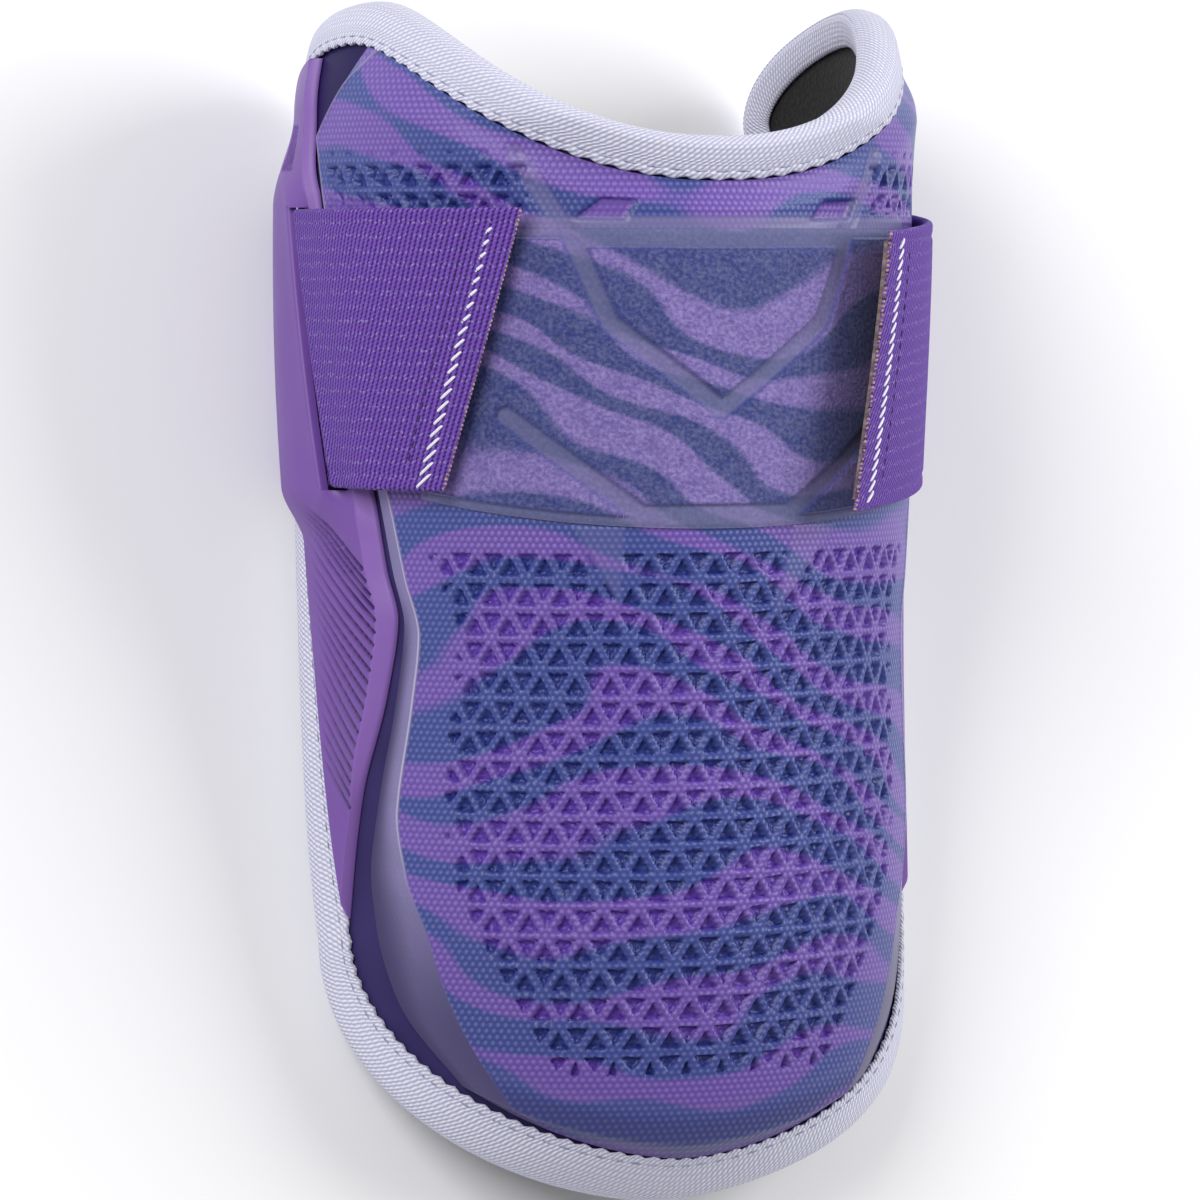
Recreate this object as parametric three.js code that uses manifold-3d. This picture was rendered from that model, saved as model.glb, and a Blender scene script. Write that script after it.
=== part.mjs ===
// Elbow guard for a batter: a padded half tube with a moulded front plate, two side panels, a bound edge
// and one elastic strap that passes through a slot in each side panel. Millimetres, +Z up.
// The guard is drawn about the arm: an angle in degrees round the arm from the middle of the front,
// a distance along the arm from the lower edge, and an offset outward from the lining.

import * as THREE from "three";
import { mergeVertices } from "three/addons/utils/BufferGeometryUtils.js";
import Module from "manifold-3d";

const wasm = await Module();
wasm.setup();

const DEG = Math.PI / 180;

// The inside of the lining: radius of the section and how far its centre lies back, along the arm.
const SECTIONS = [
  { along: 0, radius: 56, centre: -26.3 },
  { along: 8, radius: 56, centre: -19.5 },
  { along: 18, radius: 55.8, centre: -15 },
  { along: 40, radius: 54.5, centre: -11 },
  { along: 105, radius: 50.5, centre: -4 },
  { along: 170, radius: 49.5, centre: 0 },
  { along: 195, radius: 49, centre: 0 },
  { along: 208, radius: 46.8, centre: 0 },
  { along: 216, radius: 44.6, centre: 0 },
];
// The upper edge turns outward at the front.
const FLARE = { start: 172.6, reach: 20, rise: 6 };

// The outline of the pad.
const BOTTOM = { along: -1.8, angle: 73.2, rise: 45.4, roundness: 1.6 };
const WING_EDGE = [
  { along: 43.6, angle: 73.2 },
  { along: 62, angle: 80 },
  { along: 94, angle: 90.8 },
  { along: 123, angle: 99.6 },
  { along: 192.6, angle: 123.3 },
];
const EAR = { angle: 78, along: 212.5 };
const DIP = { along: 187.9, sharpness: 1.15 };

// Layers, as offsets from the lining.
const GAP = 0.3;
const PLATE_GAP = 0.65;
const PANEL_GAP = 0.5;
const PAD_THICKNESS = 3.5;
const SHELL_THICKNESS = 1.2;
const PLATE_THICKNESS = 2.35;
const PANEL_THICKNESS = 1.8;
const LOOP_THICKNESS = 1;
const PAD_TOP = PAD_THICKNESS;
const SHELL_TOP = PAD_TOP + GAP + SHELL_THICKNESS;
const PLATE_LOW = SHELL_TOP + PLATE_GAP;
const PLATE_TOP = PLATE_LOW + PLATE_THICKNESS;
const PANEL_TOP = SHELL_TOP + PANEL_GAP + PANEL_THICKNESS;
const LOOP_TOP = PLATE_TOP + GAP + LOOP_THICKNESS;

// The tape folded round the edge.
const TAPE = { thickness: 0.8, outerLeg: 6.2, innerLeg: 5.6, corner: 1.7, gap: 0.65 };
const TAPE_TOP = SHELL_TOP + TAPE.gap + TAPE.thickness;
const INSET = TAPE.outerLeg + GAP;
const EAR_MARGIN = 1.2;
const EAR_INSET = INSET + EAR_MARGIN;

// Half width of the front plate as an angle, from its lower to its upper corner, and the width of the
// bevel along its border.
const PLATE_EDGE = [
  { along: 20, angle: 40, bevel: 6 },
  { along: 35, angle: 53.5, bevel: 9 },
  { along: 49, angle: 59.5, bevel: 9.5 },
  { along: 60, angle: 61.6, bevel: 7.5 },
  { along: 71, angle: 61, bevel: 5 },
  { along: 89, angle: 58.8, bevel: 4.2 },
  { along: 101.5, angle: 57.9, bevel: 4 },
  { along: 112, angle: 61.2, bevel: 3.8 },
  { along: 124.5, angle: 65.1, bevel: 3.8 },
  { along: 177.3, angle: 84.5, bevel: 2.6 },
  { along: 190.1, angle: 88, bevel: 2.4 },
];
const PLATE_BOTTOM_ANGLE = 33;
const PLATE_TOP_ANGLE = 72;
const PLATE_LIP = 0.6;

// Front border of a side panel, from its lower tip to the ear.
const PANEL_FRONT = [
  { along: 47, angle: 66.2 },
  { along: 60, angle: 66.4 },
  { along: 70.5, angle: 65.9 },
  { along: 89, angle: 61.8 },
  { along: 102.6, angle: 60.1 },
  { along: 112, angle: 63.4 },
  { along: 124.5, angle: 67.2 },
  { along: 150, angle: 78 },
  { along: 177.3, angle: 89.4 },
  { along: 186, angle: 92.6 },
  { along: 198.5, angle: 93.8 },
];
const PANEL_TIP = 48.8;
const PANEL_END = 203;
// A panel's stepping columns lie at least this share of its width in, and at most this share to each side.
const PANEL_STEP = { least: 0.2, most: 0.1 };

// Strap, its slots, and the bridge of the panel behind each slot.
const STRAP = { width: 50, thickness: 1.8, middle: 151.6 };
const TUNNEL_OFFSET = TAPE_TOP + GAP + STRAP.thickness / 2;
const FRONT_OFFSET = PLATE_TOP + GAP + STRAP.thickness / 2;
const SLOT = { angle: 84.5, slope: 0.36, halfWidth: 2.4, margin: 0.7 };
// Under the bridge the strap lies deeper beside the slot, and climbs over some degrees to pass over the tape.
const TUNNEL_SINK = { depth: 0.95, degrees: 11 };
const BRIDGE_RISE = TUNNEL_OFFSET + STRAP.thickness / 2 - SHELL_TOP;
// The panel steps up to the bridge within the slot, over this share of its width.
const BRIDGE_STEP = 0.6;
const BRIDGE_RAMP = 3.5;
const TURN_PAST_EDGE = 1.8;
// The left end lies level on its hook tab, and the right end curls away from the plate.
const STRAP_ENDS = {
  left: { angle: 41, slope: -0.25, lift: 3, levels: true, droop: 0 },
  right: { angle: 24.2, slope: 0.15, lift: 8.3, levels: false, droop: -4 },
};
const LEVEL_AT = 0.5;
const HOOK = { length: 22, width: 46, thickness: 1.2, setBackSteps: 1 };

// Loop field on the plate, and the figure pressed into it.
const LOOP_FIELD = { low: 119.5, high: 173, lowAngle: 54, highAngle: 50 };
const PRESSED = { width: 3.4, depth: 0.5 };
const FIGURE = [
  { angle: -26.8, along: 171.2 },
  { angle: -20.2, along: 156.4 },
  { angle: 0, along: 141.2 },
  { angle: 20.2, along: 156.4 },
  { angle: 26.8, along: 171.2 },
];
const LOWER_LINE = [
  { angle: -38, along: 140 },
  { angle: -13.8, along: 122.6 },
  { angle: 13.8, along: 122.6 },
  { angle: 38, along: 140 },
];

// How the guard lies on its back: the eared end is raised by the tilt.
const REST_TILT = 13.7 * DEG;
const REST_DROP = 13.4;
const CENTRE_ALONG = 98.4;

// Numbers of facets.
const PAD_GRID = { columns: 34, rows: 12 };
const PLATE_GRID = { columns: 20, rows: 20 };
const PANEL_GRID = { ahead: 2, behind: 4, rows: 30 };
const LOOP_GRID = { columns: 14, rows: 7 };
const BAR_GRID = { columns: 4, rows: 1 };
const SLOT_GRID = { columns: 2, rows: 6 };
const STRAP_STEPS = { front: 10, slot: 3, tunnel: 7, turn: 5, back: 1 };
const STRAP_ROWS = 2;
const END_CROWDING = 0.7;
const MERGE_TOLERANCE = 1e-4;
const SAMPLES = 60;

function clamp01(value) {
  return Math.min(1, Math.max(0, value));
}

function mix(from, to, share) {
  return from + (to - from) * share;
}

function smooth(value) {
  const share = clamp01(value);
  return share * share * (3 - 2 * share);
}

// A smooth curve through one column of a table, without overshoot between its rows.
function fromTable(rows, column, along) {
  const last = rows.length - 1;
  const chord = (i) => (rows[i + 1][column] - rows[i][column]) / (rows[i + 1].along - rows[i].along);
  const slope = (i) => {
    if (i === 0) return chord(0);
    if (i === last) return chord(last - 1);
    const before = chord(i - 1);
    const after = chord(i);
    return before * after <= 0 ? 0 : (2 * before * after) / (before + after);
  };
  if (along <= rows[0].along) return rows[0][column] + chord(0) * (along - rows[0].along);
  if (along >= rows[last].along) return rows[last][column] + chord(last - 1) * (along - rows[last].along);
  let i = 0;
  while (along > rows[i + 1].along) i += 1;
  const span = rows[i + 1].along - rows[i].along;
  const t = (along - rows[i].along) / span;
  const rise = t * t * (3 - 2 * t);
  const leave = t * (1 - t) * (1 - t) * slope(i);
  const arrive = t * t * (t - 1) * slope(i + 1);
  return mix(rows[i][column], rows[i + 1][column], rise) + span * (leave + arrive);
}

function radiusAt(angle, along) {
  const turnedOut = clamp01((along - FLARE.start) / FLARE.reach) ** 2;
  const facing = Math.max(0, Math.cos(angle * DEG)) ** 2;
  return fromTable(SECTIONS, "radius", along) + FLARE.rise * turnedOut * facing;
}

// Lays a point of a cross-section in the resting place of the guard.
function atRest(across, along, front) {
  const y = along * Math.cos(REST_TILT) - front * Math.sin(REST_TILT) - CENTRE_ALONG;
  const z = along * Math.sin(REST_TILT) + front * Math.cos(REST_TILT) - REST_DROP;
  return new THREE.Vector3(across, y, z);
}

function sectionPoint(angle, along, offset) {
  const radius = radiusAt(angle, along) + offset;
  const front = fromTable(SECTIONS, "centre", along) + radius * Math.cos(angle * DEG);
  return { across: radius * Math.sin(angle * DEG), front };
}

function place(angle, along, offset) {
  const point = sectionPoint(angle, along, offset);
  return atRest(point.across, along, point.front);
}

// How far forward of the section axis the floor lies at a distance along the arm.
function floorAt(along) {
  return (REST_DROP - along * Math.sin(REST_TILT)) / Math.cos(REST_TILT);
}

// Millimetres round the arm for one degree.
function perDegree(along) {
  return fromTable(SECTIONS, "radius", along) * DEG;
}

// Outline pieces, moved inward by an inset.
function lowerEdge(angle, inset) {
  const corner = BOTTOM.angle - inset;
  const share = Math.min(1, Math.abs(angle) / corner);
  const curve = 1 - (1 - share ** BOTTOM.roundness) ** (1 / BOTTOM.roundness);
  return BOTTOM.along + inset + BOTTOM.rise * curve;
}

function wingEdge(along, inset) {
  const line = (at) => fromTable(WING_EDGE, "angle", at);
  const slope = (line(along + 1) - line(along)) * perDegree(along);
  return line(along) - (inset * Math.hypot(1, slope)) / perDegree(along);
}

function dipEdge(angle, inset) {
  const line = (at) => {
    const share = clamp01(Math.abs(at) / EAR.angle) ** DIP.sharpness;
    return mix(DIP.along, EAR.along, (1 - Math.cos(Math.PI * share)) / 2);
  };
  const slope = (line(Math.abs(angle) + 1) - line(angle)) / perDegree(DIP.along);
  return line(angle) - inset * Math.hypot(1, slope);
}

const EAR_BACK = WING_EDGE[WING_EDGE.length - 1];

// The back of an ear is a quarter of an ellipse from its top to the end of the wing edge.
function earPoint(turn, inset) {
  const back = EAR_BACK.angle - inset / perDegree(EAR_BACK.along);
  const angle = mix(EAR.angle, back, Math.sin((turn * Math.PI) / 2));
  const along = mix(EAR_BACK.along, EAR.along - inset, Math.cos((turn * Math.PI) / 2));
  return { angle, along };
}

function sampled(count, point) {
  return Array.from({ length: count + 1 }, (_, i) => point(i / count));
}

// A way along a line of surface points by its length.
function wayAlong(points) {
  const lengths = [0];
  for (let i = 1; i < points.length; i += 1) {
    const round = (points[i].angle - points[i - 1].angle) * perDegree(points[i].along);
    lengths.push(lengths[i - 1] + Math.hypot(round, points[i].along - points[i - 1].along));
  }
  const total = lengths[lengths.length - 1];
  return (share) => {
    const wanted = clamp01(share) * total;
    let i = 0;
    while (i < points.length - 2 && lengths[i + 1] < wanted) i += 1;
    const part = (wanted - lengths[i]) / (lengths[i + 1] - lengths[i]);
    const angle = mix(points[i].angle, points[i + 1].angle, part);
    const along = mix(points[i].along, points[i + 1].along, part);
    return { angle, along };
  };
}

function mirrored(points) {
  return points.map((point) => ({ angle: -point.angle, along: point.along }));
}

// A four-sided patch of the surface between its border lines.
function patchBetween(borders) {
  const { bottom, top, left, right } = borders;
  return (u, v) => {
    const point = {};
    for (const key of ["angle", "along"]) {
      const upDown = mix(bottom(u)[key], top(u)[key], v);
      const leftRight = mix(left(v)[key], right(v)[key], u);
      const low = mix(bottom(0)[key], bottom(1)[key], u);
      const high = mix(top(0)[key], top(1)[key], u);
      point[key] = upDown + leftRight - mix(low, high, v);
    }
    return point;
  };
}

// Rows lie closer together at both ends, where the surface bends most.
function crowded(share) {
  return share - (END_CROWDING * Math.sin(2 * Math.PI * share)) / (2 * Math.PI);
}

// A closed sheet from two grids of points, the outer one facing outward.
function closedSheet(outer, inner) {
  const columns = outer.length;
  const rows = outer[0].length;
  const positions = [];
  for (const grid of [outer, inner]) {
    for (const column of grid) {
      for (const point of column) positions.push(point.x, point.y, point.z);
    }
  }
  const index = [];
  const at = (face, i, j) => face * columns * rows + i * rows + j;
  const quad = (a, b, c, d) => index.push(a, b, c, a, c, d);
  for (let i = 0; i < columns - 1; i += 1) {
    for (let j = 0; j < rows - 1; j += 1) {
      quad(at(0, i, j), at(0, i + 1, j), at(0, i + 1, j + 1), at(0, i, j + 1));
      quad(at(1, i, j), at(1, i, j + 1), at(1, i + 1, j + 1), at(1, i + 1, j));
    }
  }
  for (let i = 0; i < columns - 1; i += 1) {
    quad(at(0, i + 1, 0), at(0, i, 0), at(1, i, 0), at(1, i + 1, 0));
    quad(at(0, i, rows - 1), at(0, i + 1, rows - 1), at(1, i + 1, rows - 1), at(1, i, rows - 1));
  }
  for (let j = 0; j < rows - 1; j += 1) {
    quad(at(0, 0, j), at(0, 0, j + 1), at(1, 0, j + 1), at(1, 0, j));
    quad(at(0, columns - 1, j + 1), at(0, columns - 1, j), at(1, columns - 1, j), at(1, columns - 1, j + 1));
  }
  const geometry = new THREE.BufferGeometry();
  geometry.setAttribute("position", new THREE.Float32BufferAttribute(positions, 3));
  geometry.setIndex(index);
  return geometry;
}

// A layer of the guard over a patch, between two offsets that may change over it.
function layer(patch, grid, innerOffset, outerOffset) {
  const face = (offset) =>
    sampled(grid.columns, (u) =>
      sampled(grid.rows, (t) => {
        const { angle, along } = patch(u, crowded(t));
        return place(angle, along, offset(angle, along));
      }),
    );
  return closedSheet(face(outerOffset), face(innerOffset));
}

function toManifold(geometry) {
  const plain = geometry.clone();
  plain.deleteAttribute("normal");
  plain.deleteAttribute("uv");
  const merged = mergeVertices(plain, MERGE_TOLERANCE);
  const vertProperties = new Float32Array(merged.attributes.position.array);
  const triVerts = new Uint32Array(merged.index.array);
  return new wasm.Manifold(new wasm.Mesh({ numProp: 3, vertProperties, triVerts }));
}

function cutAway(geometry, tools) {
  let body = toManifold(geometry);
  for (const tool of tools) body = body.subtract(toManifold(tool));
  const mesh = body.getMesh();
  const result = new THREE.BufferGeometry();
  result.setAttribute("position", new THREE.Float32BufferAttribute(mesh.vertProperties, 3));
  result.setIndex(Array.from(mesh.triVerts));
  return result;
}

// The whole outline of the pad as border lines of one patch.
const wingRight = sampled(SAMPLES, (t) => {
  const along = mix(WING_EDGE[0].along, EAR_BACK.along, t);
  return { angle: wingEdge(along, 0), along };
});
const topRight = [
  ...sampled(SAMPLES, (t) => ({ angle: t * EAR.angle, along: dipEdge(t * EAR.angle, 0) })),
  ...sampled(SAMPLES, (t) => earPoint(t, 0)).slice(1),
];
const bottomLine = sampled(SAMPLES * 2, (t) => {
  const angle = BOTTOM.angle * Math.sin((mix(-1, 1, t) * Math.PI) / 2);
  return { angle, along: lowerEdge(angle, 0) };
});
const padBorders = {
  bottom: wayAlong(bottomLine),
  top: wayAlong([...mirrored(topRight).reverse(), ...topRight.slice(1)]),
  left: wayAlong(mirrored(wingRight)),
  right: wayAlong(wingRight),
};
const padPatch = patchBetween(padBorders);

const fixed = (offset) => () => offset;
const pad = layer(padPatch, PAD_GRID, fixed(0), fixed(PAD_TOP));
const shell = layer(padPatch, PAD_GRID, fixed(PAD_TOP + GAP), fixed(SHELL_TOP));

// The plate runs between the tape at the bottom and at the top edge.
const plateEdgeLow = PLATE_EDGE[0].along;
const plateEdgeHigh = PLATE_EDGE[PLATE_EDGE.length - 1].along;
const plateRight = [
  { angle: PLATE_BOTTOM_ANGLE, along: lowerEdge(PLATE_BOTTOM_ANGLE, INSET) },
  ...sampled(SAMPLES, (t) => {
    const along = mix(plateEdgeLow, plateEdgeHigh, t);
    return { angle: fromTable(PLATE_EDGE, "angle", along), along };
  }),
  { angle: PLATE_TOP_ANGLE, along: dipEdge(PLATE_TOP_ANGLE, INSET) },
];
const platePatch = patchBetween({
  bottom: (u) => {
    const angle = mix(-PLATE_BOTTOM_ANGLE, PLATE_BOTTOM_ANGLE, u);
    return { angle, along: lowerEdge(angle, INSET) };
  },
  top: (u) => {
    const angle = mix(-PLATE_TOP_ANGLE, PLATE_TOP_ANGLE, u);
    return { angle, along: dipEdge(angle, INSET) };
  },
  left: wayAlong(mirrored(plateRight)),
  right: wayAlong(plateRight),
});

// The border of the plate slopes down to a thin lip.
function plateTop(angle, along) {
  const fromBorder = (fromTable(PLATE_EDGE, "angle", along) - Math.abs(angle)) * perDegree(along);
  const share = clamp01(fromBorder / fromTable(PLATE_EDGE, "bevel", along));
  return mix(PLATE_LOW + PLATE_LIP, PLATE_TOP, share);
}

const plate = layer(platePatch, PLATE_GRID, fixed(PLATE_LOW), plateTop);

// A bar of the pressed figure, cut into the loop field.
function pressedBar(from, to) {
  const round = (to.angle - from.angle) * perDegree(from.along);
  const length = Math.hypot(round, to.along - from.along);
  const half = PRESSED.width / 2;
  const sideAngle = (((from.along - to.along) / length) * half) / perDegree(from.along);
  const sideAlong = (round / length) * half;
  const beyond = half / length;
  const patch = (u, v) => {
    const share = mix(-beyond, 1 + beyond, u);
    const side = mix(-1, 1, v);
    return {
      angle: mix(from.angle, to.angle, share) + side * sideAngle,
      along: mix(from.along, to.along, share) + side * sideAlong,
    };
  };
  return layer(patch, BAR_GRID, fixed(LOOP_TOP - PRESSED.depth), fixed(LOOP_TOP + LOOP_THICKNESS));
}

function barsAlong(points) {
  return points.slice(1).map((point, i) => pressedBar(points[i], point));
}

const loopPatch = (u, v) => ({
  angle: mix(-1, 1, u) * mix(LOOP_FIELD.lowAngle, LOOP_FIELD.highAngle, v),
  along: mix(LOOP_FIELD.low, LOOP_FIELD.high, v),
});
const loopSheet = layer(loopPatch, LOOP_GRID, fixed(PLATE_TOP + GAP), fixed(LOOP_TOP));
const figureBars = [...barsAlong([...FIGURE, FIGURE[0]]), ...barsAlong(LOWER_LINE)];
const loop = cutAway(loopSheet, figureBars);

// Where the slot lies round the arm at a distance along it.
function slotAngle(along) {
  return SLOT.angle + SLOT.slope * (along - STRAP.middle);
}

function tunnelSink(angle, along) {
  const behind = Math.abs(angle) - slotAngle(along) - SLOT.halfWidth;
  return TUNNEL_SINK.depth * (1 - smooth(behind / TUNNEL_SINK.degrees));
}

// The panel stands off behind its slot, so that the strap passes under it.
function bridgeRise(angle, along) {
  const fromMiddle = Math.abs(along - STRAP.middle) - STRAP.width / 2 - SLOT.margin;
  const within = 1 - smooth(fromMiddle / BRIDGE_RAMP);
  const fromSlot = (Math.abs(angle) - slotAngle(along)) / (BRIDGE_STEP * SLOT.halfWidth);
  return (BRIDGE_RISE - tunnelSink(angle, along)) * within * smooth((fromSlot + 1) / 2);
}

function panelRear(along) {
  if (along <= EAR_BACK.along) return wingEdge(along, INSET);
  const height = (along - EAR_BACK.along) / (EAR.along - EAR_INSET - EAR_BACK.along);
  return earPoint((Math.acos(clamp01(height)) * 2) / Math.PI, EAR_INSET).angle;
}

// Angles of a panel's columns from its front to its rear border. Two of them lie within the slot, where the
// panel steps up, and run on beyond its ends.
function panelColumns(along) {
  const front = fromTable(PANEL_FRONT, "angle", along);
  const rear = panelRear(along);
  const width = rear - front;
  const slot = Math.max(slotAngle(along), front + PANEL_STEP.least * width);
  const half = Math.min(BRIDGE_STEP * SLOT.halfWidth, PANEL_STEP.most * width);
  const ahead = sampled(PANEL_GRID.ahead, (t) => mix(front, slot - half, t));
  const behind = sampled(PANEL_GRID.behind, (t) => mix(slot + half, rear, t));
  return [...ahead, ...behind];
}

function rightPanel() {
  const rows = sampled(PANEL_GRID.rows, (v) => {
    const along = mix(PANEL_TIP, PANEL_END, v);
    return panelColumns(along).map((angle) => ({ angle, along }));
  });
  const face = (offset) =>
    rows[0].map((_, i) =>
      rows.map((row) => {
        const { angle, along } = row[i];
        return place(angle, along, offset + bridgeRise(angle, along));
      }),
    );
  const sheet = closedSheet(face(PANEL_TOP), face(SHELL_TOP + PANEL_GAP));
  const slotPatch = (u, v) => {
    const along = STRAP.middle + mix(-1, 1, v) * (STRAP.width / 2 + SLOT.margin);
    return { angle: slotAngle(along) + mix(-1, 1, u) * SLOT.halfWidth, along };
  };
  const slot = layer(slotPatch, SLOT_GRID, fixed(SHELL_TOP), fixed(PANEL_TOP + 2 * BRIDGE_RISE));
  return cutAway(sheet, [slot]);
}

// A piece mirrored across the middle, with its triangles turned so that they still face outward.
function mirroredPiece(geometry) {
  const flipped = geometry.clone().applyMatrix4(new THREE.Matrix4().makeScale(-1, 1, 1));
  const corners = Array.from(flipped.index.array);
  const turned = [];
  for (let i = 0; i < corners.length; i += 3) turned.push(corners[i + 1], corners[i], corners[i + 2]);
  flipped.setIndex(turned);
  return flipped;
}

// The tape follows the border of the pad: its section as a depth in from the edge and an offset.
function tapeSection() {
  const out = TAPE.gap + TAPE.thickness;
  const low = -out;
  return [
    { depth: TAPE.outerLeg, offset: SHELL_TOP + TAPE.gap },
    { depth: TAPE.outerLeg, offset: TAPE_TOP },
    { depth: TAPE.corner - out, offset: TAPE_TOP },
    { depth: -out, offset: TAPE_TOP - TAPE.corner },
    { depth: -out, offset: low + TAPE.corner },
    { depth: TAPE.corner - out, offset: low },
    { depth: TAPE.innerLeg, offset: low },
    { depth: TAPE.innerLeg, offset: -TAPE.gap },
    { depth: -TAPE.gap, offset: -TAPE.gap },
    { depth: -TAPE.gap, offset: SHELL_TOP + TAPE.gap },
  ];
}

function tape() {
  const across = sampled(PAD_GRID.columns, (u) => u);
  const upward = sampled(PAD_GRID.rows, crowded);
  const loopOf = [
    ...across.slice(0, -1).map((u) => padPatch(u, 0)),
    ...upward.slice(0, -1).map((v) => padPatch(1, v)),
    ...across.slice(1).reverse().map((u) => padPatch(u, 1)),
    ...upward.slice(1).reverse().map((v) => padPatch(0, v)),
  ];
  const count = loopOf.length;
  const section = tapeSection();
  const positions = [];
  for (let i = 0; i < count; i += 1) {
    const here = loopOf[i];
    const before = loopOf[(i + count - 1) % count];
    const after = loopOf[(i + 1) % count];
    const scale = perDegree(here.along);
    const step = (from, to) => {
      const round = (to.angle - from.angle) * scale;
      return new THREE.Vector2(round, to.along - from.along).normalize();
    };
    const arriving = step(before, here);
    const leaving = step(here, after);
    const inward = new THREE.Vector2(-arriving.y - leaving.y, arriving.x + leaving.x).normalize();
    const mitre = inward.dot(new THREE.Vector2(-leaving.y, leaving.x));
    for (const { depth, offset } of section) {
      const reach = depth / mitre;
      const angle = here.angle + (inward.x * reach) / scale;
      const point = place(angle, here.along + inward.y * reach, offset);
      positions.push(point.x, point.y, point.z);
    }
  }
  const index = [];
  const at = (i, k) => (i % count) * section.length + (k % section.length);
  for (let i = 0; i < count; i += 1) {
    for (let k = 0; k < section.length; k += 1) {
      index.push(at(i, k), at(i, k + 1), at(i + 1, k + 1), at(i, k), at(i + 1, k + 1), at(i + 1, k));
    }
  }
  const geometry = new THREE.BufferGeometry();
  geometry.setAttribute("position", new THREE.Float32BufferAttribute(positions, 3));
  geometry.setIndex(index);
  return geometry;
}

// One side of the strap's middle line at a distance along the arm, from its front end to the middle of
// the back.
function strapHalf(end, along) {
  const fromMiddle = along - STRAP.middle;
  const endAngle = end.angle + end.slope * fromMiddle;
  const slotFront = slotAngle(along) - SLOT.halfWidth;
  const slotRear = slotAngle(along) + SLOT.halfWidth;
  const turnAngle = wingEdge(along, 0) + TURN_PAST_EDGE;
  const points = [];
  const add = (angle, offset, share) => {
    const y = along + end.droop * share;
    const point = sectionPoint(angle, y, offset);
    points.push({ across: point.across, front: point.front, along: y });
  };
  for (const t of sampled(STRAP_STEPS.front, (share) => share)) {
    const angle = mix(endAngle, slotFront, t);
    const raised = clamp01((slotFront - angle) / (slotFront - endAngle));
    const lift = end.lift * (end.levels ? smooth(raised / LEVEL_AT) : raised ** 2);
    add(angle, FRONT_OFFSET + lift, 1 - t);
  }
  for (const t of sampled(STRAP_STEPS.slot, (share) => share).slice(1)) {
    const low = TUNNEL_OFFSET - TUNNEL_SINK.depth;
    add(mix(slotFront, slotRear, t), mix(FRONT_OFFSET, low, smooth(t)), 0);
  }
  for (const t of sampled(STRAP_STEPS.tunnel, (share) => share).slice(1)) {
    const angle = mix(slotRear, turnAngle, t);
    add(angle, TUNNEL_OFFSET - tunnelSink(angle, along), 0);
  }
  // Past the edge the strap bends round and lies flat on the floor.
  const start = points[points.length - 1];
  const backLine = floorAt(along) + STRAP.thickness / 2;
  const fall = (start.front - backLine) / Math.sin(turnAngle * DEG);
  const cornerAcross = start.across + fall * Math.cos(turnAngle * DEG);
  const bend = new THREE.QuadraticBezierCurve(
    new THREE.Vector2(start.across, start.front),
    new THREE.Vector2(cornerAcross, backLine),
    new THREE.Vector2(cornerAcross - fall, backLine),
  );
  for (const t of sampled(STRAP_STEPS.turn, (share) => share).slice(1)) {
    const point = bend.getPoint(t);
    points.push({ across: point.x, front: point.y, along });
  }
  const last = points[points.length - 1].across;
  for (const t of sampled(STRAP_STEPS.back, (share) => share).slice(1)) {
    points.push({ across: mix(last, 0, t), front: backLine, along });
  }
  return points;
}

function strapLine(along) {
  const right = strapHalf(STRAP_ENDS.right, along);
  const left = strapHalf(STRAP_ENDS.left, along).map((p) => ({ ...p, across: -p.across }));
  return [...left.slice(0, -1), ...right.reverse()];
}

// A band of webbing from middle lines at several distances along the arm.
function band(lines, innerOffset, outerOffset) {
  const face = (offset) =>
    lines.map((line) =>
      line.map((point, i) => {
        const before = line[Math.max(0, i - 1)];
        const after = line[Math.min(line.length - 1, i + 1)];
        const way = new THREE.Vector2(after.across - before.across, after.front - before.front).normalize();
        const across = point.across + way.y * offset;
        const front = point.front - way.x * offset;
        return atRest(across, point.along, front);
      }),
    );
  return closedSheet(face(outerOffset), face(innerOffset));
}

function strapRows(width, count) {
  return sampled(count, (t) => STRAP.middle + mix(-0.5, 0.5, t) * width);
}

const strapLines = strapRows(STRAP.width, STRAP_ROWS).map(strapLine);
const strap = band(strapLines, -STRAP.thickness / 2, STRAP.thickness / 2);

function hookTab(side) {
  const end = STRAP_ENDS[side];
  const outer = -STRAP.thickness / 2 - GAP;
  const steps = Math.floor((HOOK.length / (slotAngle(STRAP.middle) - end.angle)) * STRAP_STEPS.front);
  const lines = strapRows(HOOK.width, STRAP_ROWS).map((along) => {
    const line = strapHalf(end, along).slice(HOOK.setBackSteps, steps + 1);
    if (side === "left") return line.map((p) => ({ ...p, across: -p.across }));
    return line.reverse();
  });
  return band(lines, outer - HOOK.thickness, outer);
}

const guard = new THREE.Group();

function addPiece(name, geometry, colour, roughness) {
  geometry.computeVertexNormals();
  const material = new THREE.MeshStandardMaterial({ color: colour, roughness, metalness: 0 });
  const mesh = new THREE.Mesh(geometry, material);
  mesh.name = name;
  guard.add(mesh);
}

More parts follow.
